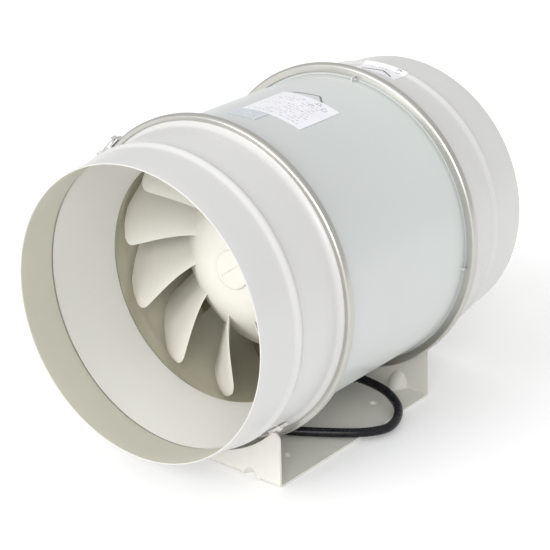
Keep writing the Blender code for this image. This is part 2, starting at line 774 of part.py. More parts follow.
def motor_screw_places():
    found = []
    for quarter in range(4):
        angle = math.pi / 4 + quarter * math.pi / 2
        found.append((MOTOR_SCREW_CIRCLE * math.cos(angle), MOTOR_SCREW_CIRCLE * math.sin(angle)))
    return found


def motor_screw_bores(name, first, last):
    ends = []
    for x, z in motor_screw_places():
        near = (x, behind_inlet(first), AXIS_HEIGHT + z)
        far = (x, behind_inlet(last), AXIS_HEIGHT + z)
        ends.append((near, far))
    return rods(name, ends, MOTOR_SCREW_RADIUS + GAP)


def motor_screws():
    head, plate = behind_inlet(196.8 * MM), behind_inlet(MOTOR_PLATE_FRONT - GAP)
    tip = behind_inlet(206.4 * MM)
    outline = [
        (head, 0),
        (head, 3.5 * MM),
        (plate, 3.5 * MM),
        (plate, MOTOR_SCREW_RADIUS),
        (tip, MOTOR_SCREW_RADIUS),
        (tip, 0),
    ]
    for number, (x, z) in enumerate(motor_screw_places(), 1):
        place = Matrix.Translation((x, 0, AXIS_HEIGHT + z))
        turned(f"motor_screw_{number}", outline, "zinc_steel", ROUND_SMALL, place=place)


def ring(name, first, last, inner, outer, look, segments=ROUND_MEDIUM):
    """A plain ring on the fan's axis, between two distances behind the inlet's mouth."""
    near, far = behind_inlet(first), behind_inlet(last)
    outline = [(near, inner), (near, outer), (far, outer), (far, inner)]
    return turned(name, outline, look, segments)


def motor():
    seat, seal_bore = BEARING_RADIUS + GAP, 7 * MM
    front_shield = [
        (behind_inlet(196 * MM), 24 * MM),
        (behind_inlet(MOTOR_SHIELD_FRONT), 24 * MM),
        (behind_inlet(MOTOR_SHIELD_FRONT), MOTOR_RADIUS),
        (behind_inlet(MOTOR_CAN_START - GAP), MOTOR_RADIUS),
        (behind_inlet(MOTOR_CAN_START - GAP), seat),
        (behind_inlet(199 * MM), seat),
        (behind_inlet(199 * MM), seal_bore),
        (behind_inlet(196 * MM), seal_bore),
    ]
    shield = turned("motor_front_shield", front_shield, "motor_alloy", ROUND_MEDIUM)
    cut(shield, motor_screw_bores("shield_bores", 200 * MM, 206.8 * MM))
    can_wall = 2.4 * MM
    ring("motor_can", MOTOR_CAN_START, MOTOR_CAN_END, MOTOR_RADIUS - can_wall, MOTOR_RADIUS, "motor_alloy")
    rear_shield = [
        (behind_inlet(MOTOR_END), 0),
        (behind_inlet(MOTOR_END), 15 * MM),
        (behind_inlet(MOTOR_CAN_END + 4 * MM), 17 * MM),
        (behind_inlet(MOTOR_CAN_END + 4 * MM), MOTOR_RADIUS),
        (behind_inlet(MOTOR_CAN_END + GAP), MOTOR_RADIUS),
        (behind_inlet(MOTOR_CAN_END + GAP), seat),
        (behind_inlet(MOTOR_END - 2.5 * MM), seat),
        (behind_inlet(MOTOR_END - 2.5 * MM), 0),
    ]
    turned("motor_rear_shield", rear_shield, "motor_alloy", ROUND_MEDIUM)
    bore = SHAFT_RADIUS + RUNNING_GAP
    for end, start in (("front", 199.3 * MM), ("rear", 258.9 * MM)):
        ring(f"{end}_bearing", start, start + BEARING_WIDTH, bore, BEARING_RADIUS, "shaft_steel")
    ring("stator_core", 220 * MM, 246 * MM, 26.6 * MM, MOTOR_RADIUS - can_wall - GAP, "lamination")
    ring("front_winding", 211 * MM, 219.7 * MM, 29 * MM, 41 * MM, "copper")
    ring("rear_winding", 246.3 * MM, 255 * MM, 29 * MM, 41 * MM, "copper")
    ring("rotor_core", 219 * MM, 247 * MM, SHAFT_RADIUS + GAP, 26 * MM, "lamination")
    shaft = [
        (behind_inlet(SHAFT_START), 0),
        (behind_inlet(SHAFT_START), SHAFT_RADIUS - 0.8 * MM),
        (behind_inlet(SHAFT_START + 1 * MM), SHAFT_RADIUS),
        (behind_inlet(SHAFT_END), SHAFT_RADIUS),
        (behind_inlet(SHAFT_END), 0),
    ]
    turned("motor_shaft", shaft, "shaft_steel", ROUND_MEDIUM)
    motor_screws()


# Bracket


def flange_cutter():
    """What is cut off both upturned ends: a hollow saddle, with a rounded corner at each side of it."""
    foot, over = 3 * MM, BRACKET_HALF_WIDTH + 8 * MM
    corner = (BRACKET_HALF_WIDTH - FLANGE_TAPER - FLANGE_CORNER, FLANGE_TOP - FLANGE_CORNER)
    drop = SADDLE_CENTRE_HEIGHT - FLANGE_TOP
    meet = math.degrees(math.acos(drop / SADDLE_RADIUS))
    left = arc((-corner[0], corner[1]), FLANGE_CORNER, 180, 90, 3)
    saddle = arc((0, SADDLE_CENTRE_HEIGHT), SADDLE_RADIUS, -90 - meet, -90 + meet, 14)
    right = arc(corner, FLANGE_CORNER, 90, 0, 3)
    lower = [(-over, foot), (-BRACKET_HALF_WIDTH - GAP, foot)] + left + saddle + right
    outline = lower + [(BRACKET_HALF_WIDTH + GAP, foot), (over, foot), (over, over), (-over, over)]
    return prism("flange_cutter", outline, 3 * BRACKET_HALF_LENGTH, "bracket_paint", Matrix.Identity(4))


def bracket():
    end, top = BRACKET_HALF_LENGTH, FLANGE_TOP + 5 * MM
    channel = [(-end, 0), (-end, top), (PLATE - end, top), (PLATE - end, PLATE)]
    channel += [(-y, z) for y, z in reversed(channel)]
    quarter_turn = Matrix.Rotation(math.pi / 2, 4, "Z")
    base = prism("mounting_bracket", channel, 2 * BRACKET_HALF_WIDTH, "bracket_paint", quarter_turn)
    cut(base, flange_cutter())
    for side in (-1, 1):
        for hand in (-1, 1):
            add(base, spigot_tab(side, hand))
            add(base, gusset(side, hand, GUSSET_HALF_WIDTH, GUSSET_REACH, 0.5 * MM))
    tab_size = (PLATE, SIDE_TAB_LENGTH, SIDE_TAB_HEIGHT)
    tab_x = BOX_X + GAP + PLATE / 2
    tab_place = Matrix.Translation((tab_x, SIDE_TAB_Y, SIDE_TAB_HEIGHT / 2 + PLATE / 4))
    add(base, block("side_tab", tab_size, "bracket_paint", tab_place))
    for side in (-1, 1):
        for hand in (-1, 1):
            hollow_reach = GUSSET_REACH - PLATE * math.sqrt(2)
            cut(base, gusset(side, hand, GUSSET_HALF_WIDTH - PLATE, hollow_reach, -5 * MM))
            cut(base, radial_rod("tab_bore", hand, side * TAB_Y, RIVET_RADIUS + GAP))
    reach = MOUNTING_HOLE_SPACING / 2
    holes = [((x, y, -5 * MM), (x, y, 8 * MM)) for x in (-reach, reach) for y in (-reach, reach)]
    cut(base, rods("mounting_holes", holes, MOUNTING_HOLE_RADIUS))
    return cut(base, rods("side_tab_holes", box_screw_ends(20 * MM), BOX_SCREW_HOLE))


def gusset(side, hand, half_width, reach, depth):
    """A rib pressed across the fold: a loft of slanting triangles that are tallest in the middle.

    A positive depth starts it inside the sheet; a negative one starts it outside, for the hollow."""
    fold = Vector((hand * GUSSET_X, side * BRACKET_HALF_LENGTH, 0))
    inwards, up = Vector((0, -side, 0)), Vector((0, 0, 1))
    shape = bmesh.new()
    rows = []
    steps = 6
    for step in range(steps + 1):
        angle = math.pi * step / steps
        here = fold + Vector((half_width * math.cos(angle), 0, 0))
        tall = depth + max(reach * math.sin(angle), 0.5 * MM) - min(depth, 0)
        corner = here + (inwards + up) * depth
        foot = here + inwards * tall + up * depth
        top = here + inwards * depth + up * tall
        rows.append([shape.verts.new(spot) for spot in (corner, foot, top)])
    for near, far in zip(rows, rows[1:]):
        for side_a, side_b in ((0, 1), (1, 2), (2, 0)):
            shape.faces.new((near[side_a], near[side_b], far[side_b], far[side_a]))
    shape.faces.new(rows[0])
    shape.faces.new(rows[-1])
    return finish("gusset", shape, "bracket_paint")


def spigot_tab(side, hand):
    """A lip bent from a flange's corner, lying along the spigot."""
    direction = tab_direction(hand)
    centre = Vector((0, side * TAB_Y, AXIS_HEIGHT)) + direction * (TAB_RADIUS + 1.2 * MM)
    place = Matrix.Translation(centre) @ Matrix.Rotation(hand * TAB_ANGLE, 4, "Y")
    return block("spigot_tab", (2.4 * MM, 10.4 * MM, 14 * MM), "bracket_paint", place)


def bracket_rivets():
    inner, outer = TAB_RADIUS - 5.2 * MM, TAB_RADIUS + 4.2 * MM
    outline = [
        (inner, 0),
        (inner, 3.4 * MM),
        (inner + 1.2 * MM, 3.4 * MM),
        (inner + 1.2 * MM, RIVET_RADIUS),
        (TAB_RADIUS + 2.7 * MM, RIVET_RADIUS),
        (TAB_RADIUS + 2.7 * MM, 3.8 * MM),
        (outer, 3.8 * MM),
        (outer, 0),
    ]
    for end, side in (("inlet", -1), ("outlet", 1)):
        for edge, hand in (("left", -1), ("right", 1)):
            place = Matrix.Translation((0, side * TAB_Y, AXIS_HEIGHT)) @ facing(tab_direction(hand))
            turned(f"bracket_rivet_{end}_{edge}", outline, "zinc_steel", 8, place=place)


# Terminal box and cable


def box_screw_ends(length):
    spots = ((SIDE_TAB_Y - 25 * MM, BOX_Z), (SIDE_TAB_Y + 25 * MM, BOX_Z))
    return [((BOX_X - length, y, z), (BOX_X + length, y, z)) for y, z in spots]


def terminal_box():
    """The box on the bracket's side tab: its tray opens away from the fan, under a screwed lid."""
    outer = (BOX_DEPTH, BOX_LENGTH, BOX_HEIGHT)
    centre = Matrix.Translation((BOX_X - BOX_DEPTH / 2, BOX_Y, BOX_Z))
    tray = block("terminal_box_tray", outer, "grey_plastic", centre)
    bevel = tray.modifiers.new("rounded_edges", "BEVEL")
    bevel.width = 3 * MM
    bevel.segments = 2
    hollow = (BOX_DEPTH, BOX_LENGTH - 2 * BOX_WALL, BOX_HEIGHT - 2 * BOX_WALL)
    hollow_place = Matrix.Translation((-BOX_WALL, 0, 0)) @ centre
    cut(tray, block("tray_hollow", hollow, "grey_plastic", hollow_place))
    gland_hole = ((BOX_X - 10 * MM, GLAND_Y, GLAND_HEIGHT), (BOX_X + 10 * MM, GLAND_Y, GLAND_HEIGHT))
    cut(tray, rods("motor_gland_hole", [gland_hole], 6.8 * MM))
    supply = (BOX_X - BOX_DEPTH / 2, BOX_Z)
    end_y = BOX_Y + BOX_LENGTH / 2
    supply_hole = ((supply[0], end_y - 10 * MM, supply[1]), (supply[0], end_y + 10 * MM, supply[1]))
    cut(tray, rods("supply_gland_hole", [supply_hole], 8.8 * MM))
    cut(tray, rods("tray_screw_holes", box_screw_ends(10 * MM), BOX_SCREW_HOLE))
    lid_x = BOX_X - BOX_DEPTH - GAP - BOX_LID / 2
    lid_size = (BOX_LID, BOX_LENGTH, BOX_HEIGHT)
    lid = block("terminal_box_lid", lid_size, "grey_plastic", Matrix.Translation((lid_x, BOX_Y, BOX_Z)))
    lid_bevel = lid.modifiers.new("rounded_edges", "BEVEL")
    lid_bevel.width = 0.8 * MM
    lid_bevel.segments = 1
    lid_screws(lid, lid_x - BOX_LID / 2)
    box_contents()
    box_screws()
    glands(supply, end_y)


def lid_screws(lid, face_x):
    """Four corner screws, in posts that rise from the tray's floor to the lid."""
    tray = bpy.data.objects["terminal_box_tray"]
    number = 0
    outline = [
        (0, 0),
        (0, 1.5 * MM),
        (9 * MM, 1.5 * MM),
        (9 * MM, 3 * MM),
        (10.8 * MM, 3 * MM),
        (10.8 * MM, 0),
    ]
    reach_y, reach_z = BOX_LENGTH / 2 - 6 * MM, BOX_HEIGHT / 2 - 6 * MM
    for y in (BOX_Y - reach_y, BOX_Y + reach_y):
        for z in (BOX_Z - reach_z, BOX_Z + reach_z):
            number += 1
            post = ((BOX_X - BOX_DEPTH, y, z), (BOX_X - 1 * MM, y, z))
            add(tray, rods(f"post_{number}", [post], 4.5 * MM, look="grey_plastic"))
            bore = ((face_x - 5 * MM, y, z), (face_x + 13 * MM, y, z))
            cut(tray, rods(f"post_bore_{number}", [bore], 1.8 * MM, 8))
            cut(lid, rods(f"lid_bore_{number}", [bore], 1.8 * MM, 8))
            place = Matrix.Translation((face_x + 8.7 * MM, y, z)) @ facing((-1, 0, 0))
            turned(f"lid_screw_{number}", outline, "zinc_steel", 8, place=place)


def box_contents():
    block_size = (12 * MM, 40 * MM, 16 * MM)
    floor = BOX_X - BOX_WALL - GAP
    block_place = Matrix.Translation((floor - 9 * MM, BOX_Y - 20 * MM, BOX_Z + 6 * MM))
    block("terminal_block", block_size, "white_plastic", block_place)
    radius, length = 11 * MM, 36 * MM
    start = BOX_Y + 6 * MM
    outline = [
        (start, 0),
        (start, radius - 1 * MM),
        (start + 1 * MM, radius),
        (start + length, radius),
        (start + length, 0),
    ]
    place = Matrix.Translation((floor - radius - 5 * MM, 0, BOX_Z - 9 * MM))
    turned("run_capacitor", outline, "white_plastic", ROUND_SMALL, place=place)


def box_screws():
    outline = [
        (0, 0),
        (0, 3.6 * MM),
        (2 * MM, 3.6 * MM),
        (2 * MM, 2 * MM),
        (7.5 * MM, 2 * MM),
        (7.5 * MM, 0),
    ]
    start_x = BOX_X - BOX_WALL - GAP - 2 * MM
    for number, (near, _) in enumerate(box_screw_ends(0), 1):
        place = Matrix.Translation((start_x, near[1], near[2])) @ facing((1, 0, 0))
        turned(f"box_screw_{number}", outline, "zinc_steel", 8, place=place)


def glands(supply, end_y):
    """The gland that takes the motor's cable, and the open one for the mains supply."""
    tail, shoulder = -5 * MM, GAP
    length = GLAND_END_X - BOX_X
    motor_side = [
        (tail, 0),
        (tail, 6 * MM),
        (shoulder, 6 * MM),
        (shoulder, 8.5 * MM),
        (shoulder + 10 * MM, 8.5 * MM),
        (shoulder + 14 * MM, 6.5 * MM),
        (length, 5.2 * MM),
        (length, 0),
    ]
    place = Matrix.Translation((BOX_X, GLAND_Y, GLAND_HEIGHT)) @ facing((1, 0, 0))
    turned("motor_cable_gland", motor_side, "black_plastic", ROUND_SMALL, place=place)
    supply_side = [
        (tail, 5 * MM),
        (tail, 8 * MM),
        (shoulder, 8 * MM),
        (shoulder, 11 * MM),
        (shoulder + 8 * MM, 11 * MM),
        (shoulder + 20 * MM, 8.5 * MM),
        (shoulder + 20 * MM, 5 * MM),
    ]
    supply_place = Matrix.Translation((supply[0], end_y, supply[1]))
    turned("supply_cable_gland", supply_side, "black_plastic", ROUND_SMALL, place=supply_place)


def cable_outlet():
    """The moulded outlet under the casing, with a tapered sleeve that points across the fan."""
    size = (26 * MM, 15 * MM, 15 * MM)
    foot = block("cable_outlet", size, "black_rubber", Matrix.Translation((0, OUTLET_Y, 17.5 * MM)))
    outline = [
        (-2 * MM, 0),
        (-2 * MM, 6.8 * MM),
        (4 * MM, 6.8 * MM),
        (OUTLET_END_X - 11 * MM, 5.2 * MM),
        (OUTLET_END_X - 11 * MM, 0),
    ]
    place = Matrix.Translation((11 * MM, OUTLET_Y, OUTLET_HEIGHT)) @ facing((1, 0, 0))
    add(foot, turned("outlet_sleeve", outline, "black_rubber", ROUND_SMALL, place=place))
    core = [
        (OUTLET_Y - 30 * MM, 0),
        (OUTLET_Y - 30 * MM, BODY_RADIUS + GAP),
        (OUTLET_Y + 30 * MM, BODY_RADIUS + GAP),
        (OUTLET_Y + 30 * MM, 0),
    ]
    return cut(foot, turned("casing_core", core, "black_rubber"))


def smooth_route(points, count):
    """Evenly spread points on a Catmull-Rom curve through a cord's route."""
    fine_steps = 20
    stops = [Vector(point) for point in points]
    stops = [stops[0] * 2 - stops[1]] + stops + [stops[-1] * 2 - stops[-2]]
    fine = []
    for index in range(1, len(stops) - 2):
        before, here, there, after = stops[index - 1 : index + 3]
        for step in range(fine_steps):
            share = step / fine_steps
            bend = (here * 3 - before - there * 3 + after) * share**3
            lean = (before * 2 - here * 5 + there * 4 - after) * share**2
            fine.append((here * 2 + (there - before) * share + lean + bend) / 2)
    fine.append(stops[-2])
    lengths = [0.0]
    for first, second in zip(fine, fine[1:]):
        lengths.append(lengths[-1] + (second - first).length)
    even = []
    index = 0
    for step in range(count):
        goal = lengths[-1] * step / (count - 1)
        while index < len(lengths) - 2 and lengths[index + 1] < goal:
            index += 1
        share = (goal - lengths[index]) / (lengths[index + 1] - lengths[index])
        even.append(fine[index].lerp(fine[index + 1], min(share, 1.0)))
    return even


def cord(name, route, count, radius, look):
    curve = bpy.data.curves.new(name, "CURVE")
    curve.dimensions = "3D"
    curve.bevel_depth = radius
    curve.bevel_resolution = 2
    curve.use_fill_caps = True
    line = curve.splines.new("POLY")
    points = smooth_route(route, count)
    line.points.add(len(points) - 1)
    for spot, point in zip(line.points, points):
        spot.co = (*point, 1)
    curve.materials.append(material(look))
    obj = bpy.data.objects.new(name, curve)
    bpy.context.scene.collection.objects.link(obj)
    return obj


def cables():
    cord("motor_cable", CABLE_ROUTE, CABLE_POINTS, CABLE_RADIUS, "cable_sheath")
    lead_top = AXIS_HEIGHT - 24 * MM
    inner_route = (
        (0, behind_inlet(MOTOR_CAN_END + 4 * MM) + 2 * GAP, lead_top),
        (0, OUTLET_Y + 8 * MM, lead_top),
        (0, OUTLET_Y + 12 * MM, lead_top - 22 * MM),
        (0, OUTLET_Y + 8 * MM, 70 * MM),
        (0, OUTLET_Y, 40 * MM),
        (0, OUTLET_Y, 25.4 * MM),
    )
    cord("motor_lead_inside", inner_route, 16, 3.2 * MM, "cable_sheath")


# Labels


def label(name, stations, first_angle, last_angle):
    """A thin printed film that follows the (y, radius) stations of the surface under it."""
    film = 0.4 * MM
    under = [(y, radius + GAP) for y, radius in stations]
    over = [(y, radius + film) for y, radius in reversed(under)]
    sweep = math.radians(last_angle - first_angle)
    turned(name, under + over, "label_film", LABEL_STEPS, math.radians(first_angle), sweep)


def labels():
    label("rating_label", [(-33 * MM, BODY_RADIUS), (22 * MM, BODY_RADIUS)], 72, 98)
    crest = (BEAD_START + BEAD_END) / 2
    distances = (HALF_LENGTH - 122 * MM, BEAD_END, crest, BEAD_START + 1 * MM)
    along_spigot = [(HALF_LENGTH - distance, spigot_radius(distance) + GAP) for distance in distances]
    label("airflow_label", along_spigot, 78, 98)


def main():
    clear_scene()
    spigot("inlet_spigot", -1)
    spigot("outlet_spigot", 1)
    body_casing()
    inlet_nozzle()
    guide_vane_housing()
    impeller()
    hub_cap()
    motor()
    for name, side in (("inlet", -1), ("outlet", 1)):
        joint_gasket(name + "_gasket", side)
        clamp_band(name + "_clamp_band", side)
        latch(name, side)
    bracket()
    bracket_rivets()
    terminal_box()
    cable_outlet()
    cables()
    labels()


main()
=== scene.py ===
"""Looks of the inline duct fan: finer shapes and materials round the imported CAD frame, and a studio."""

import json
import math

import bmesh
import bpy
from mathutils import Matrix, Vector


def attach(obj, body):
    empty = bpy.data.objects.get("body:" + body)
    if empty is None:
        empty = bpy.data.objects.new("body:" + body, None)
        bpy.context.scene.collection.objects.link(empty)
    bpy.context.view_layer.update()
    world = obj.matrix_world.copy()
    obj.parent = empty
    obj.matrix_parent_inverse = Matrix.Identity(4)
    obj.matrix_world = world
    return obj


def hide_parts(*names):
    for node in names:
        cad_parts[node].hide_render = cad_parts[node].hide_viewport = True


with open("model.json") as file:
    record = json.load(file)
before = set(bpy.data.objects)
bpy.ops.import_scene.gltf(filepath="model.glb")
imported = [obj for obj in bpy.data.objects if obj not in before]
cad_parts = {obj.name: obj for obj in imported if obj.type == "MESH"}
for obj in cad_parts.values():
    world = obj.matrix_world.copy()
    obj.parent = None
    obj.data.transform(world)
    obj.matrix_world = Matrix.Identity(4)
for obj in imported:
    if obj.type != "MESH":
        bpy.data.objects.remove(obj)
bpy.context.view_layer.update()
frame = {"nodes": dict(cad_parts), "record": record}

MM = 0.001
FULL_TURN = 2 * math.pi

# Driving dimensions, the same as the frame's
HALF_LENGTH = 187 * MM
AXIS_HEIGHT = 154 * MM
JOINT_Y = 90.5 * MM
DUCT_RADIUS = 124 * MM
BODY_RADIUS = 130 * MM
BAND_RADIUS = 139.5 * MM
SHEET = 1.2 * MM  # casing sheet
PLATE = 2 * MM  # bracket sheet
GAP = 0.3 * MM  # air left between neighbouring pieces

# Spigots, measured inwards from the mouth
SPIGOT_BASE_RADIUS = 129.6 * MM
SPIGOT_CONE_END = 88 * MM
BEAD_START, BEAD_END = 38 * MM, 50 * MM
BEAD_HEIGHT = 2.6 * MM
BEFORE_BEAD = (1.2, 12, 24, 34)
BEHIND_BEAD = (56, 66, 76, 84)
SPIGOT_FLARE = ((90, 130), (91.6, 131), (93, 132.6), (94, 134.2))
FLARE_INSIDE = (91 * MM, 129.3 * MM)
FLANGE_RADIUS = 137 * MM
FLANGE_OPENING = 131.5 * MM

# Clamped joints, measured from the joint's middle
GASKET_HALF = 0.8 * MM
FLANGE_INNER = GASKET_HALF + GAP
FLANGE_OUTER = FLANGE_INNER + SHEET
BAND_INNER = FLANGE_OUTER + GAP
BAND_HALF = BAND_INNER + SHEET
BAND_BODY_LIP_RADIUS = 132.4 * MM  # the band's lip on the body's side of a joint
BAND_SPIGOT_LIP_RADIUS = 134.6 * MM
BAND_LIP_LEAN = 0.5 * MM
BAND_CREST = 1.4 * MM  # how far the band's crest rounds off

# Lugs that centre a clamp band
LUG_COUNT = 4
LUG_SIZE = (4.4 * MM, 3 * MM, 1.6 * MM)  # outwards, along the body, round it
LUG_RISE = 1.8 * MM
LUG_SETBACK = 7.6 * MM  # from the joint's middle
LUG_FIRST_ANGLE = math.radians(-4)

# Inlet nozzle and impeller shroud
NOZZLE_START, NOZZLE_END = 41 * MM, 97 * MM
NOZZLE_MOUTH_RADIUS = 124.9 * MM
THROAT_RADIUS = 107 * MM
NOZZLE_CURVE = 1.35  # power of the trumpet's curve; 1 would be a straight cone
NOZZLE_WALL = 1.3 * MM
SHROUD_INSIDE = ((98.8, 107.6), (106, 113.5), (122, 120.5), (152, 126.5), (252, 126.5))
SHROUD_OUTSIDE = ((252, 128.5), (150, 128.5), (121, 122.6), (104.8, 115.7), (98.8, 110.2))

# Impeller
BLADE_COUNT = 11
FIRST_BLADE_ANGLE = math.radians(29)
ROOT_DEPTH = 1 * MM  # how deep a blade's root is sunk in the hub

# A blade's middle surface: each pair is at its leading edge, then at its trailing edge
BLADE_ROOT = (131 * MM, 172 * MM)  # from the inlet's mouth
BLADE_TIP = (105 * MM, 169 * MM)
BLADE_TIP_RADIUS = (106.2 * MM, 149.3 * MM)
BLADE_ROOT_ANGLE = (0, -19.7)  # degrees round the axis
BLADE_TIP_ANGLE = (22.3, -12.3)
BLADE_TIP_BOW = -4.5  # degrees that the tip's middle bows back
BLADE_SWEEP = 0.59  # how much sooner the blade leans near its root than near its tip
BLADE_BULGE_ALONG, BLADE_BULGE_OUT = -0.65 * MM, 0.6 * MM  # half way along its span
BLADE_CORNER_START = (0.83, 0.75)  # span at which each edge starts to round off
BLADE_CORNER_CUT = (0.18, 0.065)  # share of the chord that each corner takes
BLADE_THICKNESS = 2.6 * MM
BLADE_THINNING = (1.25, 0.85)  # shares of that thickness, at the root and at the tip
TIP_GAP = 2 * MM
HUB_FACE = 122.6 * MM
SHAFT_RADIUS = 5 * MM
HUB_OUTSIDE = (
    (122.6, 16),
    (125, 33),
    (131, 47.7),
    (142, 61.5),
    (154, 74),
    (164, 83),
    (188, 90),
)
HUB_INSIDE = (
    (188, 87.3),
    (165, 80.3),
    (155.5, 72),
    (143.8, 59.7),
    (133.5, 46),
    (128.5, 33),
    (126.5, 12),
    (165, 12),
)
CAP_FACE, CAP_RADIUS = 120.2 * MM, 17 * MM
CAP_SLOT = (24 * MM, 1.8 * MM, 1.6 * MM)  # length, twice its depth, width
CAP_SLOT_ANGLE = math.radians(-40)  # slants up to the right; the frame's own slot is at 30

# Guide vanes and the cup behind the impeller
VANE_COUNT = 9
VANE_START, VANE_END = 195 * MM, 248 * MM
VANE_CURVE = math.radians(26)  # how far round a vane's front edge leads its back edge
VANE_THICKNESS = 2.4 * MM
VANE_ROOT_DEPTH, VANE_MIDDLE_RADIUS, VANE_TIP_RADIUS = 1.2 * MM, 112 * MM, 127.3 * MM
CUP_FRONT, CUP_BACK = 190.5 * MM, 256 * MM
CUP_FRONT_RADIUS, CUP_BACK_RADIUS = 91 * MM, 85 * MM
CUP_WALL = 2.4 * MM
MOTOR_PLATE_FRONT, MOTOR_PLATE_BACK = 200 * MM, 203.7 * MM
MOTOR_PLATE_HOLE = 26 * MM

# Bracket
BRACKET_HALF_WIDTH = 90 * MM
BRACKET_HALF_LENGTH = 110 * MM
FOLD_RADIUS = 2.2 * MM
SADDLE_CENTRE_HEIGHT, SADDLE_RADIUS = 114.1 * MM, 103.5 * MM
FLANGE_TOP = 48.5 * MM
FLANGE_FOOT = 3 * MM  # where the flange starts to narrow
FLANGE_CORNER = 6.5 * MM
FLANGE_TAPER = 2.5 * MM
MOUNTING_HOLE_SPACING = 125 * MM
MOUNTING_HOLE_RADIUS = 3.2 * MM
GUSSET_X, GUSSET_HALF_WIDTH, GUSSET_REACH = 59 * MM, 10 * MM, 17 * MM
GUSSET_SKIN = 0.5 * MM
TAB_ANGLE = math.radians(52)  # of each spigot tab, below the horizontal
TAB_RADIUS = 130.3 * MM
TAB_SIZE = (2.4 * MM, 10.4 * MM, 14 * MM)
TAB_Y = 103.5 * MM
SIDE_TAB_X = -90.4 * MM
SIDE_TAB_Y, SIDE_TAB_LENGTH, SIDE_TAB_HEIGHT = -5 * MM, 80 * MM, 50 * MM

# A rivet: distance outwards from the spigot tab's inside, and radius
RIVET_HEAD = ((4.2, 0), (4.2, 1.2), (3.9, 2.6), (3.4, 3.4), (2.7, 3.8))
RIVET_SHANK = ((2.7, 2), (-4, 2))
RIVET_FLAT_HEAD = ((-4, 3.4), (-4.8, 3.2), (-5.2, 0))

# Latches, in the frame of the clamp band's gap: along the band, then outwards
INLET_LATCH_ANGLE, OUTLET_LATCH_ANGLE = math.radians(142.5), math.radians(214)
BAND_GAP_ANGLE = math.radians(2.5)
LATCH_PLATE = 1.5 * MM
HOOK_PLATE, HOOK_HALF_WIDTH = (-6.6, -1.6), 3.6 * MM  # degrees round the band from the gap
HORN = ((-12, 0.4), (-9, 0.6), (-9.6, 5.2), (-10.6, 6), (-12, 6))
HORN_WIDTH = 6.4 * MM
BASE_PLATE, BASE_HALF_WIDTH = (1.6, 10.5), 5.6 * MM
EAR_FOOT = ((4, 0.8), (14, 0.4))
EAR_RADIUS, EAR_SPACING, EAR_THICKNESS = 3.4 * MM, 4.8 * MM, 1.4 * MM
PIN_RADIUS, PIN_HALF_LENGTH = 1.2 * MM, 5.5 * MM
BORE_RADIUS, BORE_HALF_LENGTH = 1.5 * MM, 8 * MM
LEVER_PIVOT = (9 * MM, 4.2 * MM)
LEVER_CURL, LEVER_WIDTH = 2.4 * MM, 7.4 * MM
LEVER_BLADE = ((17, 1.5), (21, 1.2), (36, -2.2), (38, -0.8), (37, 0.8), (21, 5.8))
LEVER_TROUGH, TROUGH_WIDTH = ((20, -4), (20.5, 4.6), (35, 0.2), (36, -4)), 5 * MM
BAIL_PIVOT = (16.96 * MM, 3.36 * MM)
BAIL_SEAT = (-13 * MM, 2.75 * MM)
BAIL_WIRE = 0.8 * MM
BAIL_HALF_WIDTH = 6.6 * MM
BAIL_CORNER = 2 * MM

# Motor cable, and the lead from the motor through a vane
CABLE_RADIUS, LEAD_RADIUS = 4 * MM, 3.2 * MM
CABLE_REST = PLATE + CABLE_RADIUS + GAP  # centre height of cable lying on the bracket
OUTLET_Y, OUTLET_HEIGHT = 73 * MM, 15 * MM
OUTLET_END_X = 36 * MM
GLAND_Y, GLAND_HEIGHT = -55 * MM, 16 * MM
GLAND_END_X = -66 * MM
CABLE_ROUTE = (
    (OUTLET_END_X + GAP, OUTLET_Y, OUTLET_HEIGHT),
    (50 * MM, 73.5 * MM, 14.5 * MM),
    (70 * MM, 71.5 * MM, 12.5 * MM),
    (90 * MM, 60 * MM, 9.5 * MM),
    (101 * MM, 42 * MM, 7.2 * MM),
    (103 * MM, 24 * MM, 6.4 * MM),
    (94 * MM, 7 * MM, CABLE_REST),
    (78 * MM, -8 * MM, CABLE_REST),
    (58 * MM, -23 * MM, CABLE_REST),
    (38 * MM, -36 * MM, CABLE_REST),
    (14 * MM, -47 * MM, 7.6 * MM),
    (-14 * MM, -52.5 * MM, 10.8 * MM),
    (-42 * MM, -54.8 * MM, 14.6 * MM),
    (-56 * MM, GLAND_Y, 15.8 * MM),
    (GLAND_END_X + GAP, GLAND_Y, GLAND_HEIGHT),
)
LEAD_TOP = AXIS_HEIGHT - 24 * MM
LEAD_START = 262 * MM - HALF_LENGTH + 2 * GAP  # just behind the motor's can
LEAD_ROUTE = (
    (0, LEAD_START, LEAD_TOP),
    (0, OUTLET_Y + 8 * MM, LEAD_TOP),
    (0, OUTLET_Y + 12 * MM, LEAD_TOP - 22 * MM),
    (0, OUTLET_Y + 8 * MM, 70 * MM),
    (0, OUTLET_Y, 40 * MM),
    (0, OUTLET_Y, 25.4 * MM),
)

# Labels
FILM_THICKNESS, INK_THICKNESS = 0.4 * MM, 0.05 * MM
FILM_GAP, INK_GAP = 0.12 * MM, 0.53 * MM  # above the paint, and above the paint under a film
DASH_WIDTH = 0.8 * MM

# Facets and edges
ROUND, ROUND_MEDIUM, ROUND_SMALL = 180, 96, 32
CORNER_STEPS = 3
WELD = 1e-7  # points closer than this are one point
SHARP, SHARP_CUT, SHARP_SHEET, SHARP_BLADE = 35, 40, 50, 60  # degrees; a turn beyond is an edge
BEVEL_ABOVE = math.radians(30)


# Materials


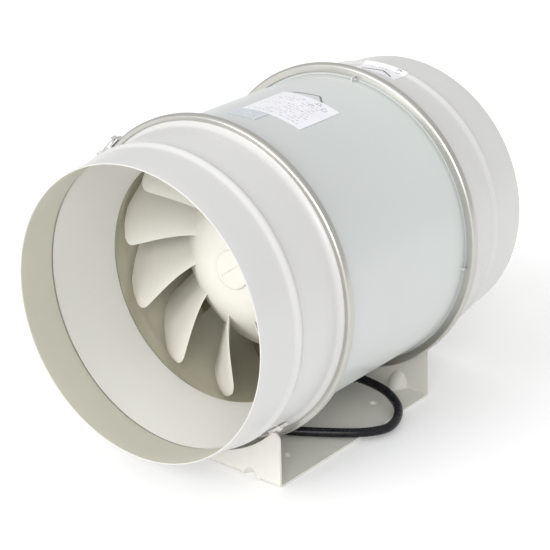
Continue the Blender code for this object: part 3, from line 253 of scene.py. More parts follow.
class Shader:
    """A material under construction: one Principled shader, and the nodes that feed it."""

    def __init__(self, name, colour, roughness, metallic=0.0):
        self.material = bpy.data.materials.new(name)
        self.material.use_nodes = True
        self.tree = self.material.node_tree
        self.tree.nodes.clear()
        self.principled = self.node("ShaderNodeBsdfPrincipled")
        self.link(self.principled.outputs[0], self.node("ShaderNodeOutputMaterial").inputs[0])
        self.set("Base Color", (*colour, 1))
        self.set("Roughness", roughness)
        self.set("Metallic", metallic)
        self.place = self.node("ShaderNodeTexCoord").outputs["Object"]

    def node(self, kind, **settings):
        made = self.tree.nodes.new(kind)
        for key, value in settings.items():
            setattr(made, key, value)
        return made

    def link(self, source, target):
        self.tree.links.new(source, target)

    def set(self, socket, value):
        self.principled.inputs[socket].default_value = value

    def feed(self, sockets, values):
        """Gives each socket a number, a colour or the output of another node."""
        for socket, value in zip(sockets, values):
            if isinstance(value, bpy.types.NodeSocket):
                self.link(value, socket)
            elif isinstance(value, tuple):
                socket.default_value = (*value, 1)
            else:
                socket.default_value = value

    def maths(self, operation, *values):
        made = self.node("ShaderNodeMath", operation=operation)
        self.feed(made.inputs, values)
        return made.outputs[0]

    def vector(self, x, y, z):
        made = self.node("ShaderNodeCombineXYZ")
        self.feed(made.inputs, (x, y, z))
        return made.outputs[0]

    def noise(self, scale, detail=3.0, vector=None):
        made = self.node("ShaderNodeTexNoise")
        self.link(vector or self.place, made.inputs["Vector"])
        made.inputs["Scale"].default_value = scale
        made.inputs["Detail"].default_value = detail
        return made.outputs["Fac"]

    def scaled(self, source, low=0.0, high=1.0, from_low=0.3, from_high=0.7):
        made = self.node("ShaderNodeMapRange")
        self.feed(made.inputs[:5], (source, from_low, from_high, low, high))
        return made.outputs["Result"]

    def mixed(self, factor, first, second):
        made = self.node("ShaderNodeMix", data_type="RGBA")
        self.feed((made.inputs[0], made.inputs[6], made.inputs[7]), (factor, first, second))
        return made.outputs[2]

    def from_axis(self):
        """Coordinates to the right of the fan's axis, along it and above it."""
        parts = self.node("ShaderNodeSeparateXYZ")
        self.link(self.place, parts.inputs[0])
        across, along, height = parts.outputs
        return across, along, self.maths("SUBTRACT", height, AXIS_HEIGHT)

    def round_axis(self):
        """Coordinates that follow the fan's axis: turns round it, along it and away from it."""
        across, along, above = self.from_axis()
        square = self.maths("MULTIPLY", across, across)
        away = self.maths("SQRT", self.maths("MULTIPLY_ADD", above, above, square))
        return self.maths("ARCTAN2", above, across), along, away

    def facing_axis(self):
        """One on surfaces that face the fan's axis, nought on those that face away from it."""
        across, _, above = self.from_axis()
        unit = self.node("ShaderNodeVectorMath", operation="NORMALIZE")
        self.link(self.vector(across, 0.0, above), unit.inputs[0])
        facing = self.node("ShaderNodeVectorMath", operation="DOT_PRODUCT")
        self.link(unit.outputs[0], facing.inputs[0])
        self.link(self.node("ShaderNodeNewGeometry").outputs["Normal"], facing.inputs[1])
        return self.scaled(facing.outputs["Value"], 1.0, 0.0, -0.4, 0.0)

    def bump(self, height, strength, distance):
        made = self.node("ShaderNodeBump")
        self.link(height, made.inputs["Height"])
        made.inputs["Strength"].default_value = strength
        made.inputs["Distance"].default_value = distance
        self.link(made.outputs[0], self.principled.inputs["Normal"])

    def vary_colour(self, colour, other, source):
        self.link(self.mixed(source, colour, other), self.principled.inputs["Base Color"])

    def vary_roughness(self, low, high, source):
        self.link(self.scaled(source, low, high), self.principled.inputs["Roughness"])


def shaded(colour, share):
    return tuple(part * share for part in colour)


def paint(name, colour, roughness, inside=None):
    """Sprayed paint: a fine orange peel, with slight changes of colour and gloss over the piece; given an
    inside colour, faces towards the axis take it as painted shade.
    """
    shader = Shader(name, colour, roughness)
    patches = shader.scaled(shader.noise(9.0, 4.0))
    outer = shader.mixed(patches, colour, shaded(colour, 0.965))
    # Painted shade: faces towards the fan's axis take the olive inside colour, which stands in for the
    # shade within the spigots.
    if inside:
        painted_inside_shade = shader.mixed(patches, inside, shaded(inside, 0.95))
        outer = shader.mixed(shader.facing_axis(), outer, painted_inside_shade)
    shader.link(outer, shader.principled.inputs["Base Color"])
    shader.vary_roughness(roughness * 0.9, roughness * 1.12, shader.noise(60.0, 5.0))
    shader.bump(shader.noise(1400.0, 2.0), 0.35, 0.02 * MM)
    shader.set("Coat Weight", 0.15)
    shader.set("Coat Roughness", 0.25)
    return shader.material


def moulded(name, colour, roughness):
    """Moulded plastic: a fine spark-eroded grain, with faint flow lines."""
    shader = Shader(name, colour, roughness)
    stretched = shader.node("ShaderNodeMapping")
    stretched.inputs["Scale"].default_value = (1.0, 0.25, 1.0)
    shader.link(shader.place, stretched.inputs["Vector"])
    flow = shader.scaled(shader.noise(35.0, 4.0, stretched.outputs[0]))
    shader.vary_colour(colour, shaded(colour, 0.95), flow)
    shader.vary_roughness(roughness * 0.88, roughness * 1.15, shader.noise(220.0, 3.0))
    shader.bump(shader.noise(2600.0, 2.0), 0.4, 0.015 * MM)
    return shader.material


def rolled_steel(name, colour, roughness):
    """Bright strip steel bent into a ring: fine lines round the axis and slow changes of gloss."""
    shader = Shader(name, colour, roughness, 1.0)
    angle, along, away = shader.round_axis()
    lines = shader.noise(3800.0, 2.0, shader.vector(0.0, along, away))
    slow = shader.scaled(shader.noise(2.2, 2.0, shader.vector(angle, 0.0, 0.0)))
    shader.vary_colour(colour, shaded(colour, 0.86), slow)
    shader.vary_roughness(roughness * 0.85, roughness * 1.2, lines)
    shader.bump(lines, 0.12, 0.01 * MM)
    return shader.material


def mottled(name, colour, roughness, other, cloud, gloss, grain, metallic=0.0):
    """Clouds of a second colour, uneven gloss and a fine grain, each from a noise of its own.

    cloud is a noise's scale and detail; gloss is the least and the most share of the roughness,
    then scale and detail; grain is scale and detail, then the bump's strength and depth.
    """
    shader = Shader(name, colour, roughness, metallic)
    shader.vary_colour(colour, other, shader.scaled(shader.noise(*cloud)))
    least, most, *spread = gloss
    shader.vary_roughness(roughness * least, roughness * most, shader.noise(*spread))
    *spread, strength, depth = grain
    shader.bump(shader.noise(*spread), strength, depth)
    return shader.material


def plated_steel(name, colour, roughness):
    """Bright zinc plate: slightly mottled, with fine scratches."""
    gloss, grain = (0.75, 1.4, 900.0, 4.0), (1800.0, 3.0, 0.25, 0.02 * MM)
    return mottled(name, colour, roughness, shaded(colour, 0.78), (260.0, 5.0), gloss, grain, 1.0)


def cast_alloy(name, colour, roughness):
    gloss, grain = (0.8, 1.3, 700.0, 4.0), (1500.0, 4.0, 0.6, 0.06 * MM)
    return mottled(name, colour, roughness, shaded(colour, 0.8), (120.0, 5.0), gloss, grain, 1.0)


def film(name, colour, roughness):
    """Printed polyester film: smooth, and a little uneven where it was rubbed down."""
    gloss, grain = (0.8, 1.5, 300.0, 3.0), (160.0, 2.0, 0.15, 0.03 * MM)
    return mottled(name, colour, roughness, shaded(colour, 0.95), (45.0, 3.0), gloss, grain)


def print_ink(name, colour, roughness):
    """Grey ink that covers unevenly."""
    lighter = tuple(part + 0.16 for part in colour)
    gloss, grain = (0.8, 1.3, 700.0, 3.0), (1500.0, 3.0, 0.2, 0.01 * MM)
    return mottled(name, colour, roughness, lighter, (900.0, 4.0), gloss, grain)


def laminated(name, colour, roughness):
    """A stack of thin steel plates, seen on edge."""
    shader = Shader(name, colour, roughness, 1.0)
    along = shader.from_axis()[1]
    sheets = shader.maths("PINGPONG", shader.maths("MULTIPLY", along, 1000.0), 0.5)
    shader.vary_colour(colour, shaded(colour, 0.55), shader.scaled(sheets, 0.0, 1.0, 0.1, 0.4))
    shader.vary_roughness(roughness * 0.8, roughness * 1.3, shader.noise(600.0, 3.0))
    shader.bump(sheets, 0.5, 0.05 * MM)
    return shader.material


def wound_copper(name, colour, roughness):
    """Enamelled wire, laid round and round."""
    shader = Shader(name, colour, roughness, 1.0)
    along, away = shader.round_axis()[1:]
    slant = shader.maths("MULTIPLY", shader.maths("ADD", along, away), 1600.0)
    turns = shader.maths("PINGPONG", slant, 0.5)
    shader.vary_colour(colour, shaded(colour, 0.5), shader.scaled(turns, 1.0, 0.0, 0.05, 0.4))
    shader.vary_roughness(roughness * 0.8, roughness * 1.3, shader.noise(800.0, 3.0))
    shader.bump(turns, 0.8, 0.2 * MM)
    return shader.material


def soft_black(name, colour, roughness, sheen=0.15):
    """Rubber or PVC: almost black, with a dusty bloom in patches."""
    shader = Shader(name, colour, roughness)
    bloom = shader.scaled(shader.noise(70.0, 6.0), 0.0, 1.0, 0.4, 0.75)
    lighter = tuple(part * 1.7 + 0.004 for part in colour)
    shader.vary_colour(colour, lighter, bloom)
    shader.vary_roughness(roughness * 0.85, roughness * 1.2, shader.noise(500.0, 4.0))
    shader.bump(shader.noise(2400.0, 3.0), 0.3, 0.02 * MM)
    shader.set("Sheen Weight", sheen)
    shader.set("Specular IOR Level", 0.32)
    return shader.material


SLOT_LOOKS = {
    # cream_paint's last colour is the olive painted shade of the spigots' insides.
    "cream_paint": (paint, (0.645, 0.642, 0.63), 0.34, (0.63, 0.62, 0.53)),
    "grey_paint": (paint, (0.595, 0.622, 0.61), 0.33),
    "bracket_paint": (paint, (0.735, 0.725, 0.665), 0.42),
    "impeller_plastic": (moulded, (0.80, 0.783, 0.72), 0.38),
    "band_steel": (rolled_steel, (0.60, 0.592, 0.55), 0.34),
    "zinc_steel": (plated_steel, (0.86, 0.86, 0.84), 0.42),
    "shaft_steel": (plated_steel, (0.60, 0.61, 0.62), 0.20),
    "motor_alloy": (cast_alloy, (0.52, 0.53, 0.54), 0.45),
    "lamination": (laminated, (0.22, 0.22, 0.23), 0.5),
    "copper": (wound_copper, (0.70, 0.32, 0.17), 0.38),
    "black_rubber": (soft_black, (0.018, 0.018, 0.018), 0.58),
    "black_plastic": (moulded, (0.030, 0.030, 0.031), 0.42),
    "cable_sheath": (soft_black, (0.005, 0.005, 0.007), 0.28, 0.0),
    "grey_plastic": (moulded, (0.60, 0.585, 0.50), 0.44),
    "white_plastic": (moulded, (0.70, 0.70, 0.68), 0.40),
    "label_film": (film, (0.86, 0.86, 0.89), 0.22),
}
LOOKS = {slot: kind(slot + "_look", *values) for slot, (kind, *values) in SLOT_LOOKS.items()}
NOZZLE_LOOK = paint("nozzle_paint_look", (0.665, 0.66, 0.625), 0.36)
INK_LOOK = print_ink("print_ink_look", (0.36, 0.36, 0.38), 0.4)
ARROW_LOOK = print_ink("arrow_ink_look", (0.10, 0.10, 0.11), 0.4)
SMOKE_LOOK = film("smoked_film_look", (0.62, 0.66, 0.71), 0.2)
SHROUD_LOOK = moulded("shroud_plastic_look", (0.64, 0.615, 0.50), 0.44)
# Painted shade: the guide vanes and the motor cup take a dark olive copy of the housing's plastic,
# standing in for the shade in the gap behind the impeller; the shroud, part of the same housing, keeps a
# lighter copy.
VANE_SHADE_LOOK = moulded("vane_plastic_look", (0.33, 0.30, 0.19), 0.44)


# Shapes


def show(obj, slot, nodes=(), body="casing", look=None):
    """The piece takes its material, moves with its body and stands for its CAD nodes."""
    obj.data.materials.clear()
    obj.data.materials.append(look or LOOKS[slot])
    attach(obj, body)
    if nodes:
        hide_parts(*nodes)
    return obj


def object_of(name, shape, place=None, sharp=SHARP):
    bmesh.ops.recalc_face_normals(shape, faces=shape.faces)
    mesh = bpy.data.meshes.new(name)
    shape.to_mesh(mesh)
    shape.free()
    mesh.shade_smooth()
    mesh.set_sharp_from_angle(angle=math.radians(sharp))
    mesh.transform(place or Matrix.Identity(4))
    obj = bpy.data.objects.new(name, mesh)
    bpy.context.scene.collection.objects.link(obj)
    return obj


def settled(obj):
    """The object with its modifiers applied, and its helpers gone."""
    helpers = [modifier.object for modifier in obj.modifiers if modifier.type == "BOOLEAN"]
    graph = bpy.context.evaluated_depsgraph_get()
    mesh = bpy.data.meshes.new_from_object(obj.evaluated_get(graph))
    obj.modifiers.clear()
    obj.data = mesh
    mesh.shade_smooth()
    mesh.set_sharp_from_angle(angle=math.radians(SHARP_CUT))
    flats = obj.modifiers.new("flat_faces", "WEIGHTED_NORMAL")
    flats.keep_sharp = True
    flats.weight = 100
    for other in helpers:
        bpy.data.objects.remove(other, do_unlink=True)
    return obj


def combine(obj, other, operation):
    modifier = obj.modifiers.new(operation.lower(), "BOOLEAN")
    modifier.operation = operation
    modifier.solver = "EXACT"
    modifier.object = other
    other.hide_render = True


def cut(obj, other):
    combine(obj, other, "DIFFERENCE")


def add(obj, other):
    combine(obj, other, "UNION")


def softened(obj, width, segments=2):
    bevel = obj.modifiers.new("soft_edges", "BEVEL")
    bevel.width = width
    bevel.segments = segments
    bevel.limit_method = "ANGLE"
    bevel.angle_limit = BEVEL_ABOVE
    bevel.harden_normals = False
    return obj


def on_fan_axis():
    return Matrix.Translation((0, 0, AXIS_HEIGHT))


def on_ring(along, radius, angle):
    return Vector((radius * math.cos(angle), along, radius * math.sin(angle)))


def millimetres(*pairs):
    return [(first * MM, second * MM) for first, second in pairs]


def evenly_spaced(steps):
    """Shares from 0 to 1 in equal steps."""
    return [step / steps for step in range(steps + 1)]


def between(ends, share):
    return ends[0] + (ends[1] - ends[0]) * share


def rectangle(low, high, inner, outer):
    return [(low, inner), (low, outer), (high, outer), (high, inner)]


def filleted(points, radius):
    """A closed outline with its corners rounded."""
    made = []
    for index, point in enumerate(points):
        here = Vector(point)
        before, after = Vector(points[index - 1]), Vector(points[(index + 1) % len(points)])
        reach_in = min(radius, (before - here).length * 0.45)
        reach_out = min(radius, (after - here).length * 0.45)
        first = here + (before - here).normalized() * reach_in
        last = here + (after - here).normalized() * reach_out
        for share in evenly_spaced(CORNER_STEPS):
            bend = first.lerp(here, share).lerp(here.lerp(last, share), share)
            made.append((bend.x, bend.y))
    return made


def join_rings(shape, rings, closed=False):
    """Faces between neighbouring rings of points, and over both ends unless the run is closed."""
    following = rings[1:] + (rings[:1] if closed else [])
    for near, far in zip(rings, following):
        for index in range(len(near)):
            other = (index + 1) % len(near)
            on_axis = near[index].co == far[index].co and near[other].co == far[other].co
            if not on_axis:
                shape.faces.new((near[index], near[other], far[other], far[index]))
    if not closed:
        shape.faces.new(rings[0])
        shape.faces.new(rings[-1])


def turned(name, outline, steps=ROUND, start=0.0, sweep=FULL_TURN, place=None, sharp=SHARP):
    """A closed outline of (along, radius) pairs, turned about the fan's axis or a place's Y."""
    whole = sweep == FULL_TURN
    shape = bmesh.new()
    rings = []
    for step in range(steps if whole else steps + 1):
        angle = start + sweep * step / steps
        rings.append([shape.verts.new(on_ring(along, radius, angle)) for along, radius in outline])
    join_rings(shape, rings, whole)
    bmesh.ops.remove_doubles(shape, verts=shape.verts, dist=WELD)
    return object_of(name, shape, place or on_fan_axis(), sharp)


def block(name, size, place):
    shape = bmesh.new()
    bmesh.ops.create_cube(shape, size=1, matrix=Matrix.Diagonal((*size, 1)))
    return object_of(name, shape, place)


def prism(name, outline, depth, place):
    """An outline in the XZ plane, extruded evenly to both sides along Y."""
    shape = bmesh.new()
    face = shape.faces.new([shape.verts.new((x, -depth / 2, z)) for x, z in outline])
    pushed = bmesh.ops.extrude_face_region(shape, geom=[face])
    moved = [item for item in pushed["geom"] if isinstance(item, bmesh.types.BMVert)]
    bmesh.ops.translate(shape, verts=moved, vec=(0, depth, 0))
    return object_of(name, shape, place)


def rods(name, ends, radius):
    shape = bmesh.new()
    for first, second in ends:
        first, second = Vector(first), Vector(second)
        along = second - first
        turn = along.to_track_quat("Z", "Y").to_matrix().to_4x4()
        bmesh.ops.create_cone(
            shape,
            cap_ends=True,
            segments=ROUND_SMALL,
            radius1=radius,
            radius2=radius,
            depth=along.length,
            matrix=Matrix.Translation((first + second) / 2) @ turn,
        )
    return object_of(name, shape)


def arc(centre, radius, first, last, steps):
    found = []
    for step in range(steps + 1):
        angle = math.radians(first + (last - first) * step / steps)
        found.append((centre[0] + radius * math.cos(angle), centre[1] + radius * math.sin(angle)))
    return found


def curve_through(points, steps):
    """Points on a smooth curve through a few stations."""
    stops = [Vector(point) for point in points]
    stops = [stops[0] * 2 - stops[1]] + stops + [stops[-1] * 2 - stops[-2]]
    fine = []
    for index in range(1, len(stops) - 2):
        before, here, there, after = stops[index - 1 : index + 3]
        for step in range(steps):
            share = step / steps
            bend = (before * -1 + here * 3 - there * 3 + after) * share**3
            lean = (before * 2 - here * 5 + there * 4 - after) * share**2
            fine.append((here * 2 + (there - before) * share + lean + bend) / 2)
    fine.append(stops[-2])
    return fine


def evenly(points, count):
    """The same curve, with this many points evenly spread."""
    lengths = [0.0]
    for first, second in zip(points, points[1:]):
        lengths.append(lengths[-1] + (second - first).length)
    even = []
    index = 0
    for step in range(count):
        goal = lengths[-1] * step / (count - 1)
        while index < len(lengths) - 2 and lengths[index + 1] < goal:
            index += 1
        share = (goal - lengths[index]) / (lengths[index + 1] - lengths[index])
        even.append(points[index].lerp(points[index + 1], min(share, 1.0)))
    return even


def behind_inlet(distance):
    return distance - HALF_LENGTH


def stations(pairs):
    """(distance behind the inlet's mouth, radius) pairs in millimetres, as (y, radius) in metres."""
    return [(behind_inlet(distance), radius) for distance, radius in millimetres(*pairs)]


def smooth_stations(pairs):
    return [(point.x, point.y) for point in curve_through(stations(pairs), 8)]


def read_line(pairs, distance):
    """The radius at a distance, on straight lines between (distance, radius) pairs."""
    for (near, first), (far, last) in zip(pairs, pairs[1:]):
        if distance <= far:
            return first + (last - first) * (distance - near) / (far - near)
    return pairs[-1][1]


# Camera and cable


def camera():
    """The camera stands to the right of the inlet, above it."""
    data = bpy.data.cameras.new("camera")
    data.sensor_width = 36.0
    data.lens = 131.02
    data.clip_end = 20.0
    obj = bpy.data.objects.new("camera", data)
    obj.location = (0.93035, -1.26215, 0.81273)
    forward = Vector((-0.54530613, 0.73655764, -0.40015506))
    upward = Vector((-0.26551994, 0.30101619, 0.91590852))
    right = forward.cross(upward).normalized()
    upward = right.cross(forward)
    turn = Matrix((right, upward, -forward)).transposed()
    obj.rotation_euler = turn.to_euler()
    bpy.context.scene.collection.objects.link(obj)
    bpy.context.scene.camera = obj


def cord(name, points, radius):
    curve = bpy.data.curves.new(name, "CURVE")
    curve.dimensions = "3D"
    curve.bevel_depth = radius
    curve.bevel_resolution = 6
    curve.use_fill_caps = True
    line = curve.splines.new("POLY")
    line.points.add(len(points) - 1)
    for spot, point in zip(line.points, points):
        spot.co = (*point, 1)
    line.use_smooth = True
    obj = bpy.data.objects.new(name, curve)
    bpy.context.scene.collection.objects.link(obj)
    return obj


def cables():
    points = evenly(curve_through(CABLE_ROUTE, 20), 110)
    flex = show(cord("motor_flex", points, CABLE_RADIUS), "cable_sheath", ["motor_cable"])
    lead = cord("motor_lead", evenly(curve_through(LEAD_ROUTE, 16), 60), LEAD_RADIUS)
    show(lead, "cable_sheath", ["motor_lead_inside"])


# Casing


def spigot_radius(distance):
    radius = DUCT_RADIUS + (SPIGOT_BASE_RADIUS - DUCT_RADIUS) * distance / SPIGOT_CONE_END
    if BEAD_START < distance < BEAD_END:
        share = (distance - BEAD_START) / (BEAD_END - BEAD_START)
        radius += BEAD_HEIGHT * (1 - math.cos(FULL_TURN * share)) / 2
    return radius


def spigot(name, side):
    """A tapered spigot with a bead, whose base flares out to the joint's flange."""
    distances = [distance * MM for distance in BEFORE_BEAD]
    distances += [between((BEAD_START, BEAD_END), share) for share in evenly_spaced(14)]
    distances += [distance * MM for distance in BEHIND_BEAD] + [SPIGOT_CONE_END]
    outside = [(distance, spigot_radius(distance)) for distance in distances]
    inside = [(distance, radius - SHEET) for distance, radius in reversed(outside)]
    front = HALF_LENGTH - JOINT_Y - FLANGE_OUTER
    back = front + SHEET
    flange = [(front, FLANGE_RADIUS - 2 * MM), (front, FLANGE_RADIUS), (back, FLANGE_RADIUS),
              (back, FLANGE_OPENING)]
    # Of the rounded outline, only the two corners of the rim and the points next to them
    rim = filleted(flange, 0.4 * MM)[CORNER_STEPS : -CORNER_STEPS]
    lip = SHEET / 2
    mouth = [(lip - x, y) for x, y in arc((0, spigot_radius(0) - lip), lip, -60, 60, 4)]
    outline = mouth + outside + millimetres(*SPIGOT_FLARE) + rim + [FLARE_INSIDE] + inside
    outline = [(side * (HALF_LENGTH - distance), radius) for distance, radius in outline]
    shell = turned(name + "_shell", outline, sharp=SHARP_SHEET)
    show(shell, "cream_paint", [name])


def body_casing():
    outer = JOINT_Y - FLANGE_INNER
    inner = JOINT_Y - FLANGE_OUTER
    bore = BODY_RADIUS - SHEET
    half = [(outer, bore), (outer, FLANGE_RADIUS), (inner, FLANGE_RADIUS), (inner, BODY_RADIUS)]
    outline = [(-along, radius) for along, radius in half] + half[::-1]
    show(turned("casing_shell", filleted(outline, 0.45 * MM)), "grey_paint", ["body_casing"])
    for side, end in ((-1, "inlet"), (1, "outlet")):
        for lug in range(LUG_COUNT):
            centring_lug(f"{end}_lug_{lug + 1}", side, LUG_FIRST_ANGLE + lug * FULL_TURN / LUG_COUNT)


def centring_lug(name, side, angle):
    spot = Matrix.Translation((BODY_RADIUS + LUG_RISE, side * (JOINT_Y - LUG_SETBACK), 0))
    lug = block(name, LUG_SIZE, on_fan_axis() @ Matrix.Rotation(-angle, 4, "Y") @ spot)
    show(settled(softened(lug, 0.3 * MM)), "grey_paint")


def joint_gasket(name, side):
    face = side * JOINT_Y
    outline = rectangle(face - GASKET_HALF, face + GASKET_HALF, FLANGE_OPENING, FLANGE_RADIUS - SHEET)
    show(turned(name + "_ring", filleted(outline, 0.5 * MM)), "black_rubber", [name])


def latch_angle(side):
    return INLET_LATCH_ANGLE if side < 0 else OUTLET_LATCH_ANGLE


def clamp_band(name, side):
    """A strip rolled to a channel: a soft crest, and lips that lean out towards their edges."""
    outline = [
        (-BAND_HALF - BAND_LIP_LEAN, BAND_BODY_LIP_RADIUS),
        (-BAND_HALF, BAND_RADIUS - BAND_CREST),
        (-BAND_HALF + BAND_CREST - 0.1 * MM, BAND_RADIUS),
        (BAND_HALF - BAND_CREST + 0.1 * MM, BAND_RADIUS),
        (BAND_HALF, BAND_RADIUS - BAND_CREST),
        (BAND_HALF, BAND_SPIGOT_LIP_RADIUS),
        (BAND_INNER, BAND_SPIGOT_LIP_RADIUS),
        (BAND_INNER, BAND_RADIUS - SHEET),
        (-BAND_INNER, BAND_RADIUS - SHEET),
        (-BAND_INNER - BAND_LIP_LEAN, BAND_BODY_LIP_RADIUS),
    ]
    outline = filleted([(side * (JOINT_Y + along), radius) for along, radius in outline], 0.55 * MM)
    start = latch_angle(side) + BAND_GAP_ANGLE / 2
    band = turned(name + "_strip", outline, ROUND, start, FULL_TURN - BAND_GAP_ANGLE)
    show(band, "band_steel", [name])


# Latches


def latch_frame(side):
    """X along the band, Z outwards, with its origin on the band's outside at the gap."""
    sine, cosine = math.sin(latch_angle(side)), math.cos(latch_angle(side))
    turn = Matrix(((-sine, 0, cosine), (0, -1, 0), (cosine, 0, sine))).to_4x4()
    spot = Vector((BAND_RADIUS * cosine, side * JOINT_Y, AXIS_HEIGHT + BAND_RADIUS * sine))
    return Matrix.Translation(spot) @ turn


def band_plate(name, side, ends, half_width):
    """A plate bent to lie on a clamp band, between two angles round from the band's gap."""
    face, inner = side * JOINT_Y, BAND_RADIUS + GAP
    outline = rectangle(face - half_width, face + half_width, inner, inner + LATCH_PLATE)
    start = latch_angle(side) + math.radians(ends[0])
    return turned(name, outline, 10, start, math.radians(ends[1] - ends[0]))


def through_pin(name, place, point, radius, half_length=BORE_HALF_LENGTH):
    first = place @ Vector((point[0], -half_length, point[1]))
    second = place @ Vector((point[0], half_length, point[1]))
    return rods(name, [(first, second)], radius)


def latch_hook(name, side):
    plate = band_plate(name + "_plate", side, HOOK_PLATE, HOOK_HALF_WIDTH)
    horn = filleted(millimetres(*HORN), 0.5 * MM)
    add(plate, prism("horn", horn, HORN_WIDTH, latch_frame(side)))
    show(settled(softened(plate, 0.2 * MM)), "zinc_steel", [name])


def latch_base(name, side):
    place = latch_frame(side)
    plate = band_plate(name + "_plate", side, BASE_PLATE, BASE_HALF_WIDTH)
    ear = millimetres(*EAR_FOOT) + arc(LEVER_PIVOT, EAR_RADIUS, 0, 180, 14)
    for hand in (-1, 1):
        spot = place @ Matrix.Translation((0, hand * EAR_SPACING, 0))
        add(plate, prism("ear", ear, EAR_THICKNESS, spot))
    cut(plate, through_pin("bore", place, LEVER_PIVOT, BORE_RADIUS))
    show(settled(softened(plate, 0.15 * MM)), "zinc_steel", [name])


def latch_lever(name, side, body):
    """A pressed lever: a channel with its back outwards, closed round the pin."""
    place = latch_frame(side)
    outline = arc(LEVER_PIVOT, LEVER_CURL, 90, 270, 12) + millimetres(*LEVER_BLADE)
    lever = prism(name + "_pressing", outline, LEVER_WIDTH, place)
    trough = filleted(millimetres(*LEVER_TROUGH), 1 * MM)
    cut(lever, prism("trough", trough, TROUGH_WIDTH, place))
    cut(lever, through_pin("pin_bore", place, LEVER_PIVOT, BORE_RADIUS))
    cut(lever, through_pin("bail_bore", place, BAIL_PIVOT, BAIL_WIRE + GAP))
    show(settled(softened(lever, 0.35 * MM, 3)), "zinc_steel", [name], body)


def latch_bail(name, side, body):
    """A closed loop of wire from the lever to the hook."""
    along, outwards = BAIL_PIVOT[0] - BAIL_SEAT[0], BAIL_PIVOT[1] - BAIL_SEAT[1]
    pivot = Matrix.Translation((BAIL_PIVOT[0], 0, BAIL_PIVOT[1]))
    lean = Matrix.Rotation(-math.atan2(outwards, along), 4, "Y")
    near, far = -BAIL_CORNER, BAIL_CORNER - math.hypot(along, outwards)
    path = []
    for x, hand, first in ((near, 1, 0), (far, 1, 90), (far, -1, 180), (near, -1, 270)):
        centre = (x, hand * (BAIL_HALF_WIDTH - BAIL_CORNER))
        path += arc(centre, BAIL_CORNER, first, first + 90, 6)
    shape = bmesh.new()
    join_rings(shape, [wire_ring(shape, path, index) for index in range(len(path))], True)
    wire = object_of(name + "_wire", shape, latch_frame(side) @ pivot @ lean)
    show(wire, "zinc_steel", [name], body)


def wire_ring(shape, path, index, sides=14):
    """The wire's outline at one point of its flat path."""
    along = (Vector(path[(index + 1) % len(path)]) - Vector(path[index - 1])).normalized()
    outwards = Vector((along.y, -along.x))
    ring = []
    for step in range(sides):
        angle = FULL_TURN * step / sides
        spot = Vector(path[index]) + outwards * BAIL_WIRE * math.cos(angle)
        ring.append(shape.verts.new((spot.x, spot.y, BAIL_WIRE * math.sin(angle))))
    return ring


def latch(name, side):
    latch_hook(name + "_latch_hook", side)
    latch_base(name + "_latch_base", side)
    latch_lever(name + "_latch_lever", side, name + "_lever")
    latch_bail(name + "_latch_bail", side, name + "_bail")
    pin = through_pin(
        name + "_latch_pin_rod", latch_frame(side), LEVER_PIVOT, PIN_RADIUS, PIN_HALF_LENGTH
    )
    show(settled(softened(pin, 0.2 * MM)), "zinc_steel", [name + "_latch_pin"])


# Air path


def inlet_nozzle():
    inside, outside = [], []
    for share in evenly_spaced(28):
        along = behind_inlet(between((NOZZLE_START, NOZZLE_END), share))
        opening = (NOZZLE_MOUTH_RADIUS - THROAT_RADIUS) * (1 - share) ** NOZZLE_CURVE
        inside.append((along, THROAT_RADIUS + opening))
        outside.append((along, THROAT_RADIUS + opening + NOZZLE_WALL))
    trumpet = turned("nozzle_trumpet", inside + outside[::-1], sharp=SHARP_SHEET)
    show(trumpet, "cream_paint", ["inlet_nozzle"], look=NOZZLE_LOOK)


def cup_radius(distance):
    share = (distance - CUP_FRONT) / (CUP_BACK - CUP_FRONT)
    return between((CUP_FRONT_RADIUS, CUP_BACK_RADIUS), share)


def guide_vane_housing():
    shroud = smooth_stations(SHROUD_INSIDE) + smooth_stations(SHROUD_OUTSIDE)
    show(turned("vane_shroud", shroud), "grey_plastic", ["guide_vane_housing"], look=SHROUD_LOOK)
    cup = [
        (CUP_FRONT, CUP_FRONT_RADIUS),
        (CUP_BACK, CUP_BACK_RADIUS),
        (CUP_BACK, CUP_BACK_RADIUS - CUP_WALL),
        (MOTOR_PLATE_BACK, cup_radius(MOTOR_PLATE_BACK) - CUP_WALL),
        (MOTOR_PLATE_BACK, MOTOR_PLATE_HOLE),
        (MOTOR_PLATE_FRONT, MOTOR_PLATE_HOLE),
        (MOTOR_PLATE_FRONT, cup_radius(MOTOR_PLATE_FRONT) - CUP_WALL),
        (CUP_FRONT, CUP_FRONT_RADIUS - CUP_WALL),
    ]
    cup = filleted([(behind_inlet(distance), radius) for distance, radius in cup], 1 * MM)
    # The cup and the vanes wear the dark painted-shade copy of the housing's plastic.
    show(turned("vane_cup", cup), "grey_plastic", look=VANE_SHADE_LOOK)
    for vane in range(VANE_COUNT):
        show(guide_vane(vane), "grey_plastic", look=VANE_SHADE_LOOK)


def guide_vane(vane):
    """One curved vane, with a rounded front and a thin trailing edge."""
    middle, thickness = [], []
    for share in evenly_spaced(14):
        distance = between((VANE_START, VANE_END), share)
        angle = FULL_TURN * vane / VANE_COUNT + VANE_CURVE * (1 - share) ** 2
        radii = (cup_radius(distance) - VANE_ROOT_DEPTH, VANE_MIDDLE_RADIUS, VANE_TIP_RADIUS)
        middle.append([on_ring(behind_inlet(distance), radius, angle) for radius in radii])
        thickness.append([blade_section(share) * VANE_THICKNESS] * len(radii))
    return sheet_solid(f"guide_vane_{vane + 1}", middle, thickness)


def blade_section(share, nose_end=0.2):
    """Thickness along a chord, as a share of the most: a round nose, full by a fifth, a thin tail."""
    nose = min(share / nose_end, 1.0)
    tail = max(0.0, share - nose_end) / (1 - nose_end)
    return max(0.16, math.sqrt(nose * (2 - nose)) * (1 - 0.6 * tail))


